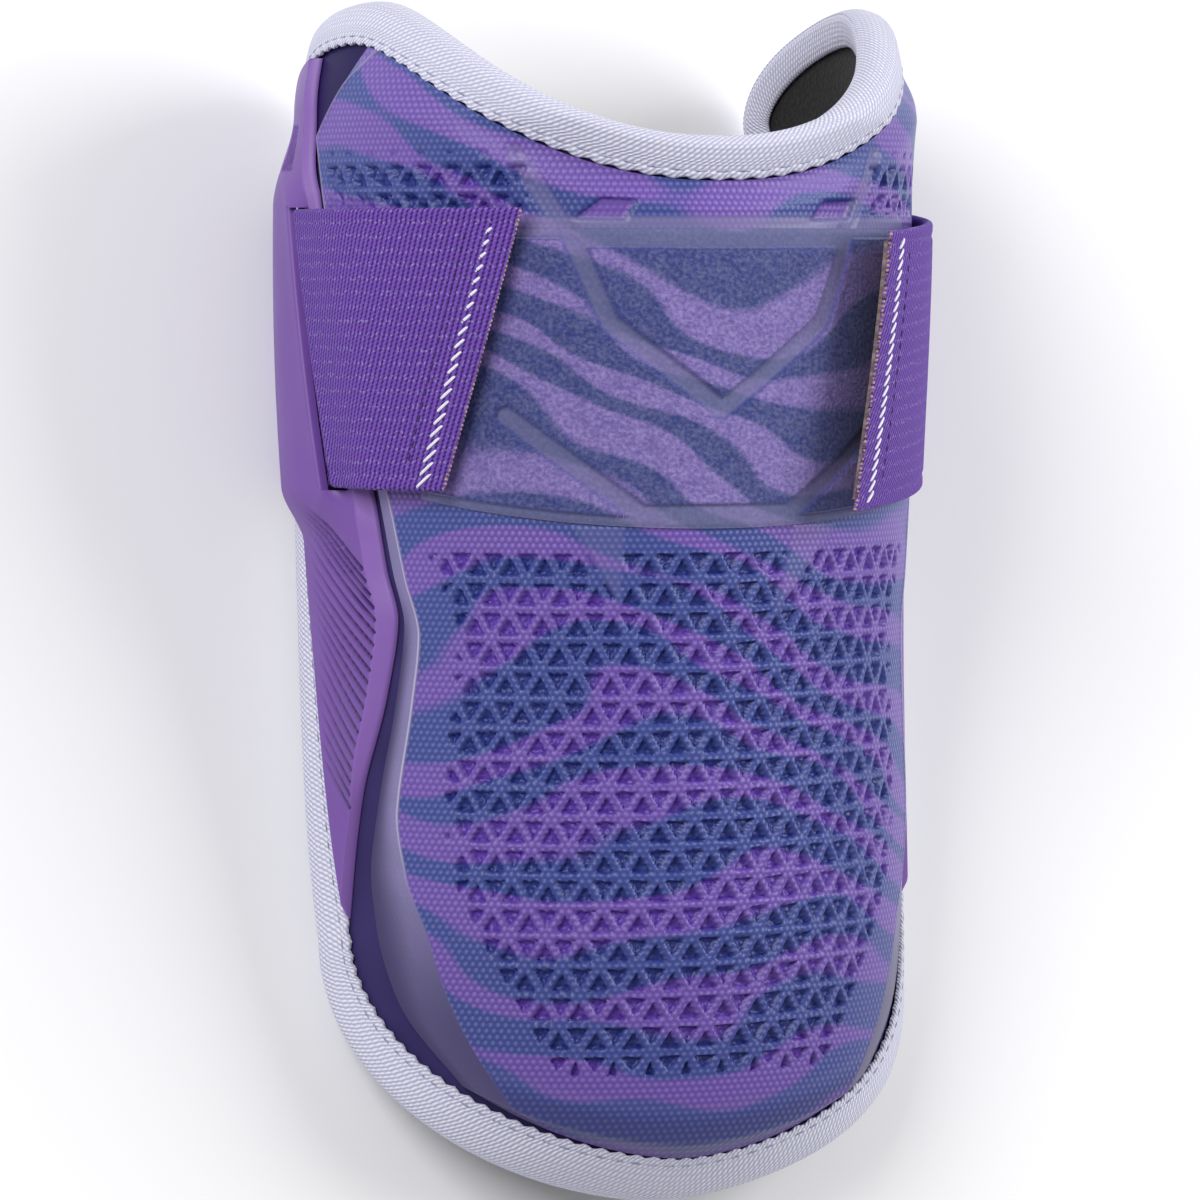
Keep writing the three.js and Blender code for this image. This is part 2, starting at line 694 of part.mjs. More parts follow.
addPiece("pad_lining", pad, 0x1e1b1c, 0.95);
addPiece("base_shell", shell, 0x39325e, 0.4);
addPiece("front_plate", plate, 0x5a5f9c, 0.45);
addPiece("loop_panel", loop, 0x6a6aa6, 0.95);
const panel = rightPanel();
addPiece("side_panel_left", mirroredPiece(panel), 0x7e5fa8, 0.4);
addPiece("side_panel_right", panel, 0x7e5fa8, 0.4);
addPiece("edge_binding", tape(), 0xc8c9de, 0.9);
addPiece("strap", strap, 0x6a4b9b, 0.85);
addPiece("hook_tab_left", hookTab("left"), 0x9c8a84, 0.8);
addPiece("hook_tab_right", hookTab("right"), 0x9c8a84, 0.8);

export default guard;
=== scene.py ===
"""Looks of a padded elbow guard over its CAD frame, laid out as a Blender add-on.

Each piece of the guard has an operator that makes its visible mesh and material. A point on the guard is an
angle in degrees round the arm from the middle of the front, a distance in millimetres along the arm from the
lower edge, and an offset in millimetres outward from the lining.
"""

import math

import bpy
import numpy as np
from bpy.props import FloatProperty, FloatVectorProperty, IntProperty, PointerProperty
from mathutils import Matrix, Vector


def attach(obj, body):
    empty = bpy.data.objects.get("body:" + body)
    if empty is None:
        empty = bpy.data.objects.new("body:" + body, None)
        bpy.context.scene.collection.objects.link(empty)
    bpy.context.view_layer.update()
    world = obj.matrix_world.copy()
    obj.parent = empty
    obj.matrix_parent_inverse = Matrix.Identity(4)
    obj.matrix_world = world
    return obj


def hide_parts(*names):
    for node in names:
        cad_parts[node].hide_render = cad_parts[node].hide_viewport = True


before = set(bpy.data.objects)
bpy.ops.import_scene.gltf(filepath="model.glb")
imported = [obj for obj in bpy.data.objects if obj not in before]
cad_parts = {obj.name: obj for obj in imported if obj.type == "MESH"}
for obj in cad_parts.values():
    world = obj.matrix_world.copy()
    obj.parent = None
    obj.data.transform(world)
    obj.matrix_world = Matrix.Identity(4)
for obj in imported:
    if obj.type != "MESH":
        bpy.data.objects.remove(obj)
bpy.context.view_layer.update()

bl_info = {
    "name": "Elbow guard",
    "version": (1, 0, 0),
    "blender": (4, 5, 0),
    "location": "View3D > Sidebar > Guard",
    "description": "Makes the visible pieces of an elbow guard and a stage for them",
    "category": "Add Mesh",
}

MM = 0.001

# The inside of the lining: radius of the section and how far its centre lies back, along the arm.
SECTIONS = {
    "along": (0, 8, 18, 40, 105, 170, 195, 208, 216),
    "radius": (56, 56, 55.8, 54.5, 50.5, 49.5, 49, 46.8, 44.6),
    "centre": (-26.3, -19.5, -15, -11, -4, 0, 0, 0, 0),
}
FLARE = {"start": 172.6, "reach": 20, "rise": 6}

# The outline of the pad.
BOTTOM = {"along": -1.8, "angle": 73.2, "rise": 45.4, "roundness": 1.6}
WING_EDGE = {"along": (43.6, 62, 94, 123, 192.6), "angle": (73.2, 80, 90.8, 99.6, 123.3)}
EAR = {"angle": 78, "along": 212.5, "back_angle": 123.3, "back_along": 192.6}
DIP = {"along": 187.9, "sharpness": 1.15}

# Layers, as offsets from the lining.
PAD_TOP = 3.5
SHELL_LOW = 3.8
SHELL_TOP = 5.0
PLATE_LOW = 5.65
PLATE_TOP = 8.0
PANEL_LOW = 5.5
PANEL_TOP = 7.3
LOOP_LOW = 8.3
LOOP_TOP = 9.3
TAPE_TOP = 6.45
TAPE_LOW = -1.45
GAP = 0.3
INSET = 6.5
EAR_INSET = 6.9
# Width of the tape's outer leg, which narrows from the lower edge to the upper one.
TAPE_LEG = {"low": 7.5, "high": 6.2, "start": 90, "reach": 70}
BOTTOM_INSET = TAPE_LEG["low"] + GAP

# Borders of the front plate and of a side panel, with the width of the plate's bevel, of the panel's chamfer,
# and of the plain strip before the panel's grooves.
PLATE_EDGE = {
    "along": (20, 35, 49, 60, 71, 89, 101.5, 112, 124.5, 177.3, 190.1),
    "angle": (40, 53.5, 59.5, 61.6, 61, 58.8, 57.9, 61.2, 65.1, 84.5, 88),
    "bevel": (8.8, 12.2, 11.6, 8.2, 5, 4.2, 4, 3.8, 3.8, 2.6, 2.4),
}
PLATE_BOTTOM_ANGLE = 33
PLATE_TOP_ANGLE = 72
PLATE_LIP = 0.6
PANEL_FRONT = {
    "along": (47, 60, 70.5, 89, 102.6, 112, 124.5, 150, 177.3, 186, 198.5),
    "angle": (66.2, 66.4, 65.9, 61.8, 60.1, 63.4, 67.2, 78, 89.4, 92.6, 93.8),
}
PANEL_TIP = 48.8
PANEL_END = 204
PANEL_CHAMFER = {
    "along": (48.8, 69, 81, 103, 112, 125, 140, 204),
    "width": (0.9, 1.0, 2.6, 3.6, 3.6, 3.4, 2.2, 1.2),
}
GROOVE_INSET = {"along": (69, 81, 90.5, 102.5, 112), "width": (1.2, 3.4, 3.8, 4.1, 4.5)}

# Strap, its slots, and the bridge of a side panel behind its slot.
STRAP = {"width": 50, "thickness": 1.8, "middle": 151.6}
TUNNEL_OFFSET = 7.65
FRONT_OFFSET = 9.2
SLOT = {"angle": 84.5, "slope": 0.36, "half": 2.4, "margin": 0.45}
# Under the bridge the strap lies deeper beside the slot, and climbs over some degrees to pass over the tape.
TUNNEL_SINK = {"depth": 0.95, "degrees": 11}
# The panel steps up to its bridge within the slot, and more gently beyond its ends.
BRIDGE = {"rise": 3.55, "low_ramp": 10, "high_ramp": 17, "step": 0.6, "spread": 1.2}
TURN_PAST_EDGE = 1.8
STRAP_ENDS = {
    "left": {"angle": 41, "slope": -0.25, "lift": 3, "levels": True, "droop": 0},
    "right": {"angle": 24.2, "slope": 0.15, "lift": 8.3, "levels": False, "droop": -4},
}
LEVEL_AT = 0.5
HOOK = {"length": 16, "set_back": 4, "width": 46, "thickness": 1.2, "gap": 0.3, "row": 1.5, "fleck": 1.4}

# The loop field, and the lines of film pressed into it and beside it, as angles and distances along.
LOOP_FIELD = {"low": 120, "high": 173, "low_angle": 54, "high_angle": 50, "corner_rise": 5}
FIGURE = ((-26.8, 171.2), (-20.2, 156.4), (0, 141.2), (20.2, 156.4), (26.8, 171.2))
LOWER_LINE = ((-38, 140), (-13.8, 122.6), (13.8, 122.6), (38, 140))
LEGS = (((-27, 121), (-16, 121), (-16.4, 104)), ((15, 121), (27, 121), (10.2, 101)))
SHOULDERS = (((-27.5, 172), (-37, 186)), ((27.5, 172), (37, 186)))
SHOULDER_HALF = 1.5
EYES = (
    ((-28, 174.3), (-22, 178.8), (-14.6, 178.3), (-17.5, 174)),
    ((18, 174), (21.5, 178.2), (31.5, 178.6), (29.3, 174.3)),
)
PLATE_RELIEF = {"leg": 0.3, "shoulder": 0.25}
FILM_RIM = {"half": 1.6, "fade": 1.2}

# How the guard lies on its back.
REST_TILT = math.radians(13.7)
REST_DROP = 13.4
CENTRE_ALONG = 98.4

# Millimetres round the outside for one degree, used for patterns that run over several pieces.
PATTERN_PER_DEGREE = 1.0
# Directions in degrees of the three sets of lines that make a pattern of triangles.
TRIANGLE_WAYS = (90, 30, -30)


def linear(code):
    """Turns an sRGB hex colour into linear red, green and blue by the standard's own formula."""
    parts = [int(code[i:i + 2], 16) / 255 for i in (0, 2, 4)]
    return tuple(c / 12.92 if c <= 0.04045 else ((c + 0.055) / 1.055) ** 2.4 for c in parts)


def length(name, text, millimetres):
    """A length property from a size in millimetres."""
    return FloatProperty(name=name, description=text, unit="LENGTH", min=0.0, default=millimetres * MM)


def colour(name, text, code):
    """A colour property from an sRGB hex code."""
    return FloatVectorProperty(
        name=name, description=text, subtype="COLOR", size=3, min=0.0, max=1.0, default=linear(code)
    )


class GuardPlateSettings(bpy.types.PropertyGroup):
    """Sizes of the pressed and woven pattern of the front plate."""

    lattice_pitch: length("Lattice pitch", "Side of one triangle of the lattice", 6.1)
    bar_width: length("Bar width", "Width of a bar between two pockets", 1.1)
    pocket_depth: length("Pocket depth", "Depth of a pocket of the lattice", 1.1)
    weave_pitch: length("Weave pitch", "Distance between two dots of the weave", 1.25)
    print_wave: length("Print wave", "Distance from one wave of the print to the next", 13)


class GuardPanelSettings(bpy.types.PropertyGroup):
    """Sizes of the grooves in the side panels."""

    grooves: IntProperty(name="Grooves", description="Grooves in one side panel", min=1, default=20)
    groove_pitch: length("Groove pitch", "Distance along the arm between two groove ends", 2.26)
    groove_width: length("Groove width", "Width of a groove at its deep end", 0.62)
    groove_depth: length("Groove depth", "Depth of a groove at its deep end", 0.62)


class GuardLoopSettings(bpy.types.PropertyGroup):
    """Sizes of the lines pressed into the loop field."""

    channel_width: length("Channel width", "Width of a pressed line", 2.9)
    channel_depth: length("Channel depth", "Depth of a pressed line", 0.6)
    fibre_length: length("Fibre length", "Length of a raised fibre of the pile", 0.9)
    fibres: IntProperty(name="Fibres", description="Raised fibres of the pile", min=0, default=16000)


class GuardTapeSettings(bpy.types.PropertyGroup):
    """Sizes of the binding tape and its seam."""

    scallop_pitch: length("Scallop pitch", "Distance between two waves of the tape's selvedge", 3.4)
    scallop: length("Scallop", "Height of a wave of the selvedge", 0.28)
    rib_pitch: length("Rib pitch", "Distance between two ribs of the twill", 1.0)
    seam_inset: length("Seam inset", "Distance of the seam from the selvedge", 1.3)


class GuardStrapSettings(bpy.types.PropertyGroup):
    """Sizes of the webbing and of its stitches."""

    cord_pitch: length("Cord pitch", "Distance between two cords across the webbing", 1.05)
    bead_pitch: length("Bead pitch", "Distance between two knots of the bound end", 0.8)
    stitch_inset: length("Stitch inset", "Distance of the white stitches from a strap end", 4.6)
    thread: length("Thread", "Thickness of the white thread", 0.55)
    tonal_thread: length("Tonal thread", "Thickness of the violet thread", 0.33)
    knot: length("Knot", "Thickness of a knot of the bound end", 0.72)


class GuardColours(bpy.types.PropertyGroup):
    """Colours of the guard's materials."""

    plate_blue: colour("Plate blue", "Blue of the printed plate", "424f92")
    plate_purple: colour("Plate purple", "Purple of the printed plate", "7556ac")
    plate_dot: colour("Plate dot", "Pale thread of the weave", "a09bd0")
    deep_blue: colour("Deep blue", "Blue in the pockets and in gaps of the weave", "1e2b78")
    deep_purple: colour("Deep purple", "Purple in the pockets", "55309c")
    film: colour("Film", "Greyed film over pressed lines and borders", "8078a1")
    # Painted highlight along the crest of the bevel.
    film_crest_highlight: colour("Film crest", "Light line along the top of the bevel", "bdb6d2")
    loop_blue: colour("Loop blue", "Blue of the loop field", "36407f")
    loop_purple: colour("Loop purple", "Purple of the loop field", "846fb5")
    loop_film: colour("Loop film", "Film in the pressed lines of the loop field", "6a6b90")
    shell: colour("Shell", "Dark violet moulded sheet", "352d5b")
    shell_light: colour("Shell light", "Cloudy places of the violet sheet", "463d72")
    # Painted shade: the violet sheet darkens toward the hollow of the ears.
    shell_hollow_shade: colour("Shell deep", "Violet sheet in the hollow of the ears", "231a4c")
    panel: colour("Panel", "Purple moulded side panel", "714c9c")
    panel_light: colour("Panel light", "Cloudy places of the side panel", "7a58a4")
    # Painted shade on the floor of a groove.
    panel_groove_shade: colour("Panel groove", "Shaded floor of a groove", "2c1a54")
    # Painted highlight on the chamfer along the front of a side panel.
    panel_edge_highlight: colour("Panel edge", "Lighter chamfer along the front of a side panel", "8661ae")
    tape: colour("Tape", "Pale binding tape", "e6e5f1")
    tape_gap: colour("Tape gap", "Shaded gaps between the ribs of the tape", "b3b3d0")
    strap: colour("Strap", "Purple webbing", "734baf")
    strap_gap: colour("Strap gap", "Shaded gaps between the cords of the webbing", "2b165c")
    stitch: colour("Stitch", "White thread", "f2eff5")
    seam: colour("Seam", "Grey thread of the tape's seam", "7d7f9c")
    bead: colour("Bead", "Beige bound end of the strap", "b8978d")
    bead_gap: colour("Bead gap", "Brown shade between the knots of the bound end", "4f3740")
    lining: colour("Lining", "Black brushed lining", "191718")
    lining_fleck: colour("Lining fleck", "Lighter fibres of the lining", "2b2829")
    hook: colour("Hook", "Hook tape", "6c5d5a")
    hook_fleck: colour("Hook fleck", "Lighter hooks of the hook tape", "a08f88")
    floor: colour("Floor", "Pale floor", "f6f6f8")
    floor_shade: colour("Floor shade", "Grain of the pale floor", "f1f1f4")


def mix(start, end, share):
    """The value at a share of the way from start to end."""
    return start + (end - start) * share


def smooth(value):
    """Rises from 0 to 1 with soft ends."""
    share = np.clip(value, 0, 1)
    return share * share * (3 - 2 * share)


def table_curve(table, column, along):
    """A smooth curve through one column of a table, without overshoot between its rows."""
    at = np.array(table["along"], float)
    value = np.array(table[column], float)
    chord = np.diff(value) / np.diff(at)
    product = chord[:-1] * chord[1:]
    total = chord[:-1] + chord[1:]
    inner = np.where(product > 0, 2 * product / np.where(total == 0, 1, total), 0)
    slope = np.concatenate(([chord[0]], inner, [chord[-1]]))
    along = np.asarray(along, float)
    held = np.clip(along, at[0], at[-1])
    i = np.clip(np.searchsorted(at, held) - 1, 0, len(chord) - 1)
    span = at[i + 1] - at[i]
    t = (held - at[i]) / span
    bend = t * (1 - t) ** 2 * slope[i] + t * t * (t - 1) * slope[i + 1]
    beyond = np.where(along < at[0], chord[0], chord[-1]) * (along - held)
    return mix(value[i], value[i + 1], smooth(t)) + span * bend + beyond


def section_point(angle, along, offset):
    """Distance to the side and to the front of a point of a cross-section."""
    turned_out = np.clip((along - FLARE["start"]) / FLARE["reach"], 0, 1) ** 2
    facing = np.maximum(0, np.cos(np.radians(angle))) ** 2
    radius = table_curve(SECTIONS, "radius", along) + FLARE["rise"] * turned_out * facing + offset
    front = table_curve(SECTIONS, "centre", along) + radius * np.cos(np.radians(angle))
    return radius * np.sin(np.radians(angle)), front


def at_rest(across, along, front):
    """Lays points of the guard in its resting place, in metres."""
    y = along * math.cos(REST_TILT) - front * math.sin(REST_TILT) - CENTRE_ALONG
    z = along * math.sin(REST_TILT) + front * math.cos(REST_TILT) - REST_DROP
    return np.stack(np.broadcast_arrays(across, y, z), axis=-1) * MM


def place(angle, along, offset):
    """Points of the guard's surface in its resting place."""
    across, front = section_point(angle, along, offset)
    return at_rest(across, along, front)


def per_degree(along):
    """Millimetres round the lining for one degree."""
    return table_curve(SECTIONS, "radius", along) * math.radians(1)


def lower_edge(angle, inset):
    """Distance along the arm of the lower edge, moved inward by an inset."""
    share = np.minimum(1, np.abs(angle) / (BOTTOM["angle"] - inset))
    curve = 1 - (1 - share ** BOTTOM["roundness"]) ** (1 / BOTTOM["roundness"])
    return BOTTOM["along"] + inset + BOTTOM["rise"] * curve


def wing_edge(along, inset):
    """Angle of the side edge, moved inward by an inset."""
    line = table_curve(WING_EDGE, "angle", along)
    slope = (table_curve(WING_EDGE, "angle", along + 1) - line) * per_degree(along)
    return line - inset * np.hypot(1, slope) / per_degree(along)


def dip_line(angle):
    """Distance along the arm of the upper edge, from the dip at the front to the top of an ear."""
    share = np.clip(np.abs(angle) / EAR["angle"], 0, 1) ** DIP["sharpness"]
    return mix(DIP["along"], EAR["along"], (1 - np.cos(np.pi * share)) / 2)


def dip_edge(angle, inset):
    """The upper edge, moved inward by an inset."""
    slope = (dip_line(np.abs(angle) + 1) - dip_line(angle)) / per_degree(DIP["along"])
    return dip_line(angle) - inset * np.hypot(1, slope)


def ear_point(turn, inset):
    """Angle and distance along of a point on the back of an ear, a quarter of an ellipse."""
    back = EAR["back_angle"] - inset / per_degree(EAR["back_along"])
    angle = mix(EAR["angle"], back, np.sin(turn * np.pi / 2))
    along = mix(EAR["back_along"], EAR["along"] - inset, np.cos(turn * np.pi / 2))
    return angle, along


def line_lengths(angle, along):
    """Distance of each point of a surface line from its first point."""
    steps = np.hypot(np.diff(angle) * per_degree(along[1:]), np.diff(along))
    return np.concatenate(([0], np.cumsum(steps)))


def way_along(angle, along):
    """A function from a share of a surface line's length to the point there."""
    lengths = line_lengths(angle, along)

    def at(share):
        wanted = np.asarray(share) * lengths[-1]
        return np.interp(wanted, lengths, angle), np.interp(wanted, lengths, along)

    return at


def patch_between(bottom, top, left, right):
    """A function that fills a four-sided patch of the surface between its border lines."""

    def at(u, v):
        found = []
        for k in (0, 1):
            up_down = mix(bottom(u)[k], top(u)[k], v)
            left_right = mix(left(v)[k], right(v)[k], u)
            low = mix(bottom(0.0)[k], bottom(1.0)[k], u)
            high = mix(top(0.0)[k], top(1.0)[k], u)
            found.append(up_down + left_right - mix(low, high, v))
        return found

    return at


def tape_leg(along):
    """Width of the tape's outer leg at a distance along the arm."""
    return mix(TAPE_LEG["low"], TAPE_LEG["high"], smooth((along - TAPE_LEG["start"]) / TAPE_LEG["reach"]))


OUTLINE_SAMPLES = 240


def pad_borders():
    """The four border lines of the pad: lower edge, upper edge and the two side edges."""
    share = np.linspace(0, 1, OUTLINE_SAMPLES)
    bottom_angle = BOTTOM["angle"] * np.sin((share * 2 - 1) * np.pi / 2)
    wing_along = mix(WING_EDGE["along"][0], EAR["back_along"], share)
    wing_angle = wing_edge(wing_along, 0)
    dip_angle = share * EAR["angle"]
    ear_angle, ear_along = ear_point(share, 0)
    top_angle = np.concatenate((dip_angle, ear_angle[1:]))
    top_along = np.concatenate((dip_edge(dip_angle, 0), ear_along[1:]))
    whole_angle = np.concatenate((-top_angle[::-1], top_angle[1:]))
    whole_along = np.concatenate((top_along[::-1], top_along[1:]))
    return {
        "bottom": way_along(bottom_angle, lower_edge(bottom_angle, 0)),
        "top": way_along(whole_angle, whole_along),
        "left": way_along(-wing_angle, wing_along),
        "right": way_along(wing_angle, wing_along),
    }


FINE_LINES = (0.12, 0.35, 0.7, 1.2)


def shares(total, spacing, fine=FINE_LINES):
    """Shares from 0 to 1 of a length, evenly spaced with finer lines near both ends for rounded edges."""
    inner = np.linspace(fine[-1], total - fine[-1], max(2, round((total - 2 * fine[-1]) / spacing) + 1))
    low = np.array((0, *fine[:-1]))
    return np.concatenate((low, inner, total - low[::-1])) / total


def rolled(distance, radius):
    """How far a rounded edge falls below the flat at a distance from the border."""
    inward = 1 - np.clip(distance / radius, 0, 1)
    return radius * (1 - np.sqrt(1 - inward ** 2))


def distance_to_line(angle, along, points, closed=False):
    """Distance in pattern millimetres from surface points to a line of straight pieces."""
    ends = list(points) + ([points[0]] if closed else [])
    nearest = np.full(np.broadcast(angle, along).shape, np.inf)
    for (a0, s0), (a1, s1) in zip(ends, ends[1:]):
        run, rise = (a1 - a0) * PATTERN_PER_DEGREE, s1 - s0
        x, y = (angle - a0) * PATTERN_PER_DEGREE, along - s0
        t = np.clip((x * run + y * rise) / (run * run + rise * rise), 0, 1)
        nearest = np.minimum(nearest, np.hypot(x - t * run, y - t * rise))
    return nearest


SHARP_DEGREES = 50


def inside_polygon(angle, along, points):
    """Signed distance into a convex polygon of surface points listed clockwise, negative outside."""
    deepest = np.full(np.broadcast(angle, along).shape, np.inf)
    for (a0, s0), (a1, s1) in zip(points, (*points[1:], points[0])):
        run, rise = (a1 - a0) * PATTERN_PER_DEGREE, s1 - s0
        x, y = (angle - a0) * PATTERN_PER_DEGREE, along - s0
        deepest = np.minimum(deepest, (x * rise - y * run) / math.hypot(run, rise))
    return deepest


def store(made, name, values, domain):
    """Stores a vector field on a mesh object's vertices or on its faces' corners."""
    layer = made.data.attributes.new(name, "FLOAT_VECTOR", domain)
    layer.data.foreach_set("vector", np.ascontiguousarray(values, np.float32).ravel())


def mesh_object(name, vertices, faces, fields=None):
    """A smooth-shaded mesh object with its vector fields stored on the vertices."""
    mesh = bpy.data.meshes.new(name)
    mesh.from_pydata(vertices.tolist(), [], faces)
    mesh.shade_smooth()
    mesh.set_sharp_from_angle(angle=math.radians(SHARP_DEGREES))
    made = bpy.data.objects.new(name, mesh)
    for field_name, values in (fields or {}).items():
        store(made, field_name, values, "POINT")
    bpy.context.scene.collection.objects.link(made)
    return made


def back_faces(columns, rows, step, first):
    """Large cells of a sheet's hidden back, with every border vertex kept so that the sheet stays closed."""
    faces = []
    for i0 in range(0, columns - 1, step):
        i1 = min(i0 + step, columns - 1)
        for j0 in range(0, rows - 1, step):
            j1 = min(j0 + step, rows - 1)
            left = range(j0, j1) if i0 == 0 else (j0,)
            top = range(i0, i1) if j1 == rows - 1 else (i0,)
            right = range(j1, j0, -1) if i1 == columns - 1 else (j1,)
            bottom = range(i1, i0, -1) if j0 == 0 else (i1,)
            cell = [(i0, j) for j in left] + [(i, j1) for i in top]
            cell += [(i1, j) for j in right] + [(i, j0) for i in bottom]
            faces.append([first + i * rows + j for i, j in cell])
    return faces


def sheet_object(name, outer, inner, fields=None, keep=None, back_step=1):
    """A closed sheet from two grids of points. Cells left out of keep are holes right through it."""
    columns, rows = outer.shape[:2]
    first_inner = columns * rows
    if keep is None:
        keep = np.ones((columns - 1, rows - 1), bool)
    i, j = np.nonzero(keep)
    corners = [i * rows + j, (i + 1) * rows + j, (i + 1) * rows + j + 1, i * rows + j + 1]
    faces = np.stack(corners, axis=1).tolist()
    around = np.pad(keep, 1)
    neighbours = [around[i + 1, j], around[i + 2, j + 1], around[i + 1, j + 2], around[i, j + 1]]
    for side, kept in enumerate(neighbours):
        start = corners[side][~kept]
        end = corners[(side + 1) % 4][~kept]
        faces += np.stack((end, start, start + first_inner, end + first_inner), axis=1).tolist()
    if back_step == 1:
        faces += (np.stack(corners[::-1], axis=1) + first_inner).tolist()
    else:
        faces += back_faces(columns, rows, back_step, first_inner)
    used = np.unique(np.concatenate([np.asarray(face) for face in faces]))
    renumbered = np.zeros(2 * first_inner, int)
    renumbered[used] = np.arange(len(used))
    faces = [renumbered[face].tolist() for face in faces]
    vertices = np.concatenate((outer.reshape(-1, 3), inner.reshape(-1, 3)))[used]
    both = {}
    for field_name, values in (fields or {}).items():
        flat = values.reshape(-1, 3)
        both[field_name] = np.concatenate((flat, flat))[used]
    return mesh_object(name, vertices, faces, both)


def field(x, y=0.0, z=0.0):
    """Three values for each grid point, stacked as one vector field."""
    return np.stack(np.broadcast_arrays(x, y, z), axis=-1)


# Least share of a thread's squared thickness, which its ends keep.
THREAD_TIP = 0.06


def tube_mesh(name, paths, radius, sides=6):
    """Many short round threads in one mesh. Each path is an array of points, thin at both ends."""
    vertices, faces = [], []
    turn = np.linspace(0, 2 * np.pi, sides, endpoint=False)
    for path in paths:
        first = len(vertices)
        count = len(path)
        way = np.gradient(path, axis=0)
        way /= np.linalg.norm(way, axis=1, keepdims=True)
        helper = np.where(np.abs(way[:, 2:]) < 0.9, (0.0, 0.0, 1.0), (1.0, 0.0, 0.0))
        side = np.cross(way, helper)
        side /= np.linalg.norm(side, axis=1, keepdims=True)
        other = np.cross(way, side)
        width = radius * np.sqrt(np.maximum(THREAD_TIP, 1 - np.linspace(-1, 1, count) ** 4))
        for k in range(count):
            ring = np.cos(turn)[:, None] * side[k] + np.sin(turn)[:, None] * other[k]
            vertices.extend(path[k] + width[k] * ring)
        for k in range(count - 1):
            for s in range(sides):
                a, b = first + k * sides + s, first + k * sides + (s + 1) % sides
                faces.append([a, b, b + sides, a + sides])
        faces.append([first + s for s in reversed(range(sides))])
        faces.append([first + (count - 1) * sides + s for s in range(sides)])
    return mesh_object(name, np.array(vertices), faces)


def bead_mesh(name, centres, radius, rings=6, sides=8):
    """Many small round knots in one mesh."""
    vertices, faces = [], []
    turn = np.linspace(0, 2 * np.pi, sides, endpoint=False)
    heights = np.linspace(-np.pi / 2, np.pi / 2, rings + 1)[1:-1]
    for centre in centres:
        first = len(vertices)
        for height in heights:
            ring = np.stack((np.cos(turn), np.sin(turn), np.full(sides, math.tan(height))), axis=1)
            vertices.extend(centre + radius * math.cos(height) * ring)
        vertices.extend((centre - (0, 0, radius), centre + (0, 0, radius)))
        south, north = len(vertices) - 2, len(vertices) - 1
        last = first + (len(heights) - 1) * sides
        for s in range(sides):
            after = (s + 1) % sides
            for k in range(len(heights) - 1):
                low = first + k * sides
                faces.append([low + s, low + after, low + sides + after, low + sides + s])
            faces.append([first + after, first + s, south])
            faces.append([last + s, last + after, north])
    return mesh_object(name, np.array(vertices), faces)


# The kinds of node that the materials use: Blender's name, settings, and the inputs in the order given.
# The surface is where a shaded point lies in millimetres, and the relief is three shares. Meshes store both.
NODES = {
    "surface": ("ShaderNodeAttribute", {"attribute_name": "surface"}, ()),
    "relief": ("ShaderNodeAttribute", {"attribute_name": "relief"}, ()),
    "place": ("ShaderNodeTexCoord", {}, ()),
    "parts": ("ShaderNodeSeparateXYZ", {}, ("Vector",)),
    "dot": ("ShaderNodeVectorMath", {"operation": "DOT_PRODUCT"}, (0, 1)),
    "scaled": ("ShaderNodeVectorMath", {"operation": "MULTIPLY"}, (0, 1)),
    "noise": ("ShaderNodeTexNoise", {}, ("Vector", "Scale", "Detail")),
    "step": ("ShaderNodeMapRange", {"interpolation_type": "SMOOTHSTEP"}, ("Value", "From Min", "From Max")),
    "blend": ("ShaderNodeMix", {"data_type": "RGBA"}, ("Factor", "A", "B")),
    "times": ("ShaderNodeMath", {"operation": "MULTIPLY"}, (0, 1)),
    "less": ("ShaderNodeMath", {"operation": "SUBTRACT"}, (0, 1)),
    "times_plus": ("ShaderNodeMath", {"operation": "MULTIPLY_ADD"}, (0, 1, 2)),
    "cosine": ("ShaderNodeMath", {"operation": "COSINE"}, (0,)),
    "bump": ("ShaderNodeBump", {}, ("Height", "Distance")),
}


def in_use(sockets, name):
    """The socket with a name that the node's settings leave in use, or the first one for no name."""
    return next(socket for socket in sockets if socket.enabled and name in (None, socket.name))


def add(tree, kind, *values, output=None):
    """Adds one node with its settings, fills or links its inputs in order, and gives one of its outputs."""
    blender_name, settings, keys = NODES[kind]
    made = tree.nodes.new(blender_name)
    for name, value in settings.items():
        setattr(made, name, value)
    for key, value in zip(keys, values):
        socket = made.inputs[key] if isinstance(key, int) else in_use(made.inputs, key)
        if isinstance(value, bpy.types.NodeSocket):
            tree.links.new(value, socket)
        elif socket.type == "RGBA":
            socket.default_value = (*value, 1.0)
        else:
            socket.default_value = value
    return in_use(made.outputs, output)


def new_material(name, **settings):
    """A material, its node tree, and its shader with its own sockets set to constants."""
    made = bpy.data.materials.new(name)
    made.use_nodes = True
    shader = made.node_tree.nodes["Principled BSDF"]
    for key, value in settings.items():
        shader.inputs[key.replace("_", " ")].default_value = value
    return made, made.node_tree, shader


def finish_with(tree, shader, colour_socket, height, depth):
    """Links a colour to a shader, and a bump of a depth in millimetres."""
    tree.links.new(colour_socket, shader.inputs["Base Color"])
    tree.links.new(add(tree, "bump", height, depth * MM), shader.inputs["Normal"])


def wave(tree, at, turns_each_mm):
    """The cosine of a place on the surface, for a vector of turns in each millimetre."""
    turns = add(tree, "dot", at, turns_each_mm)
    return add(tree, "cosine", add(tree, "times", turns, 2 * math.pi))


def weighted_sum(tree, *parts):
    """The sum of sockets, each times its weight."""
    total = 0.0
    for socket, weight in parts:
        total = add(tree, "times_plus", socket, weight, total)
    return total


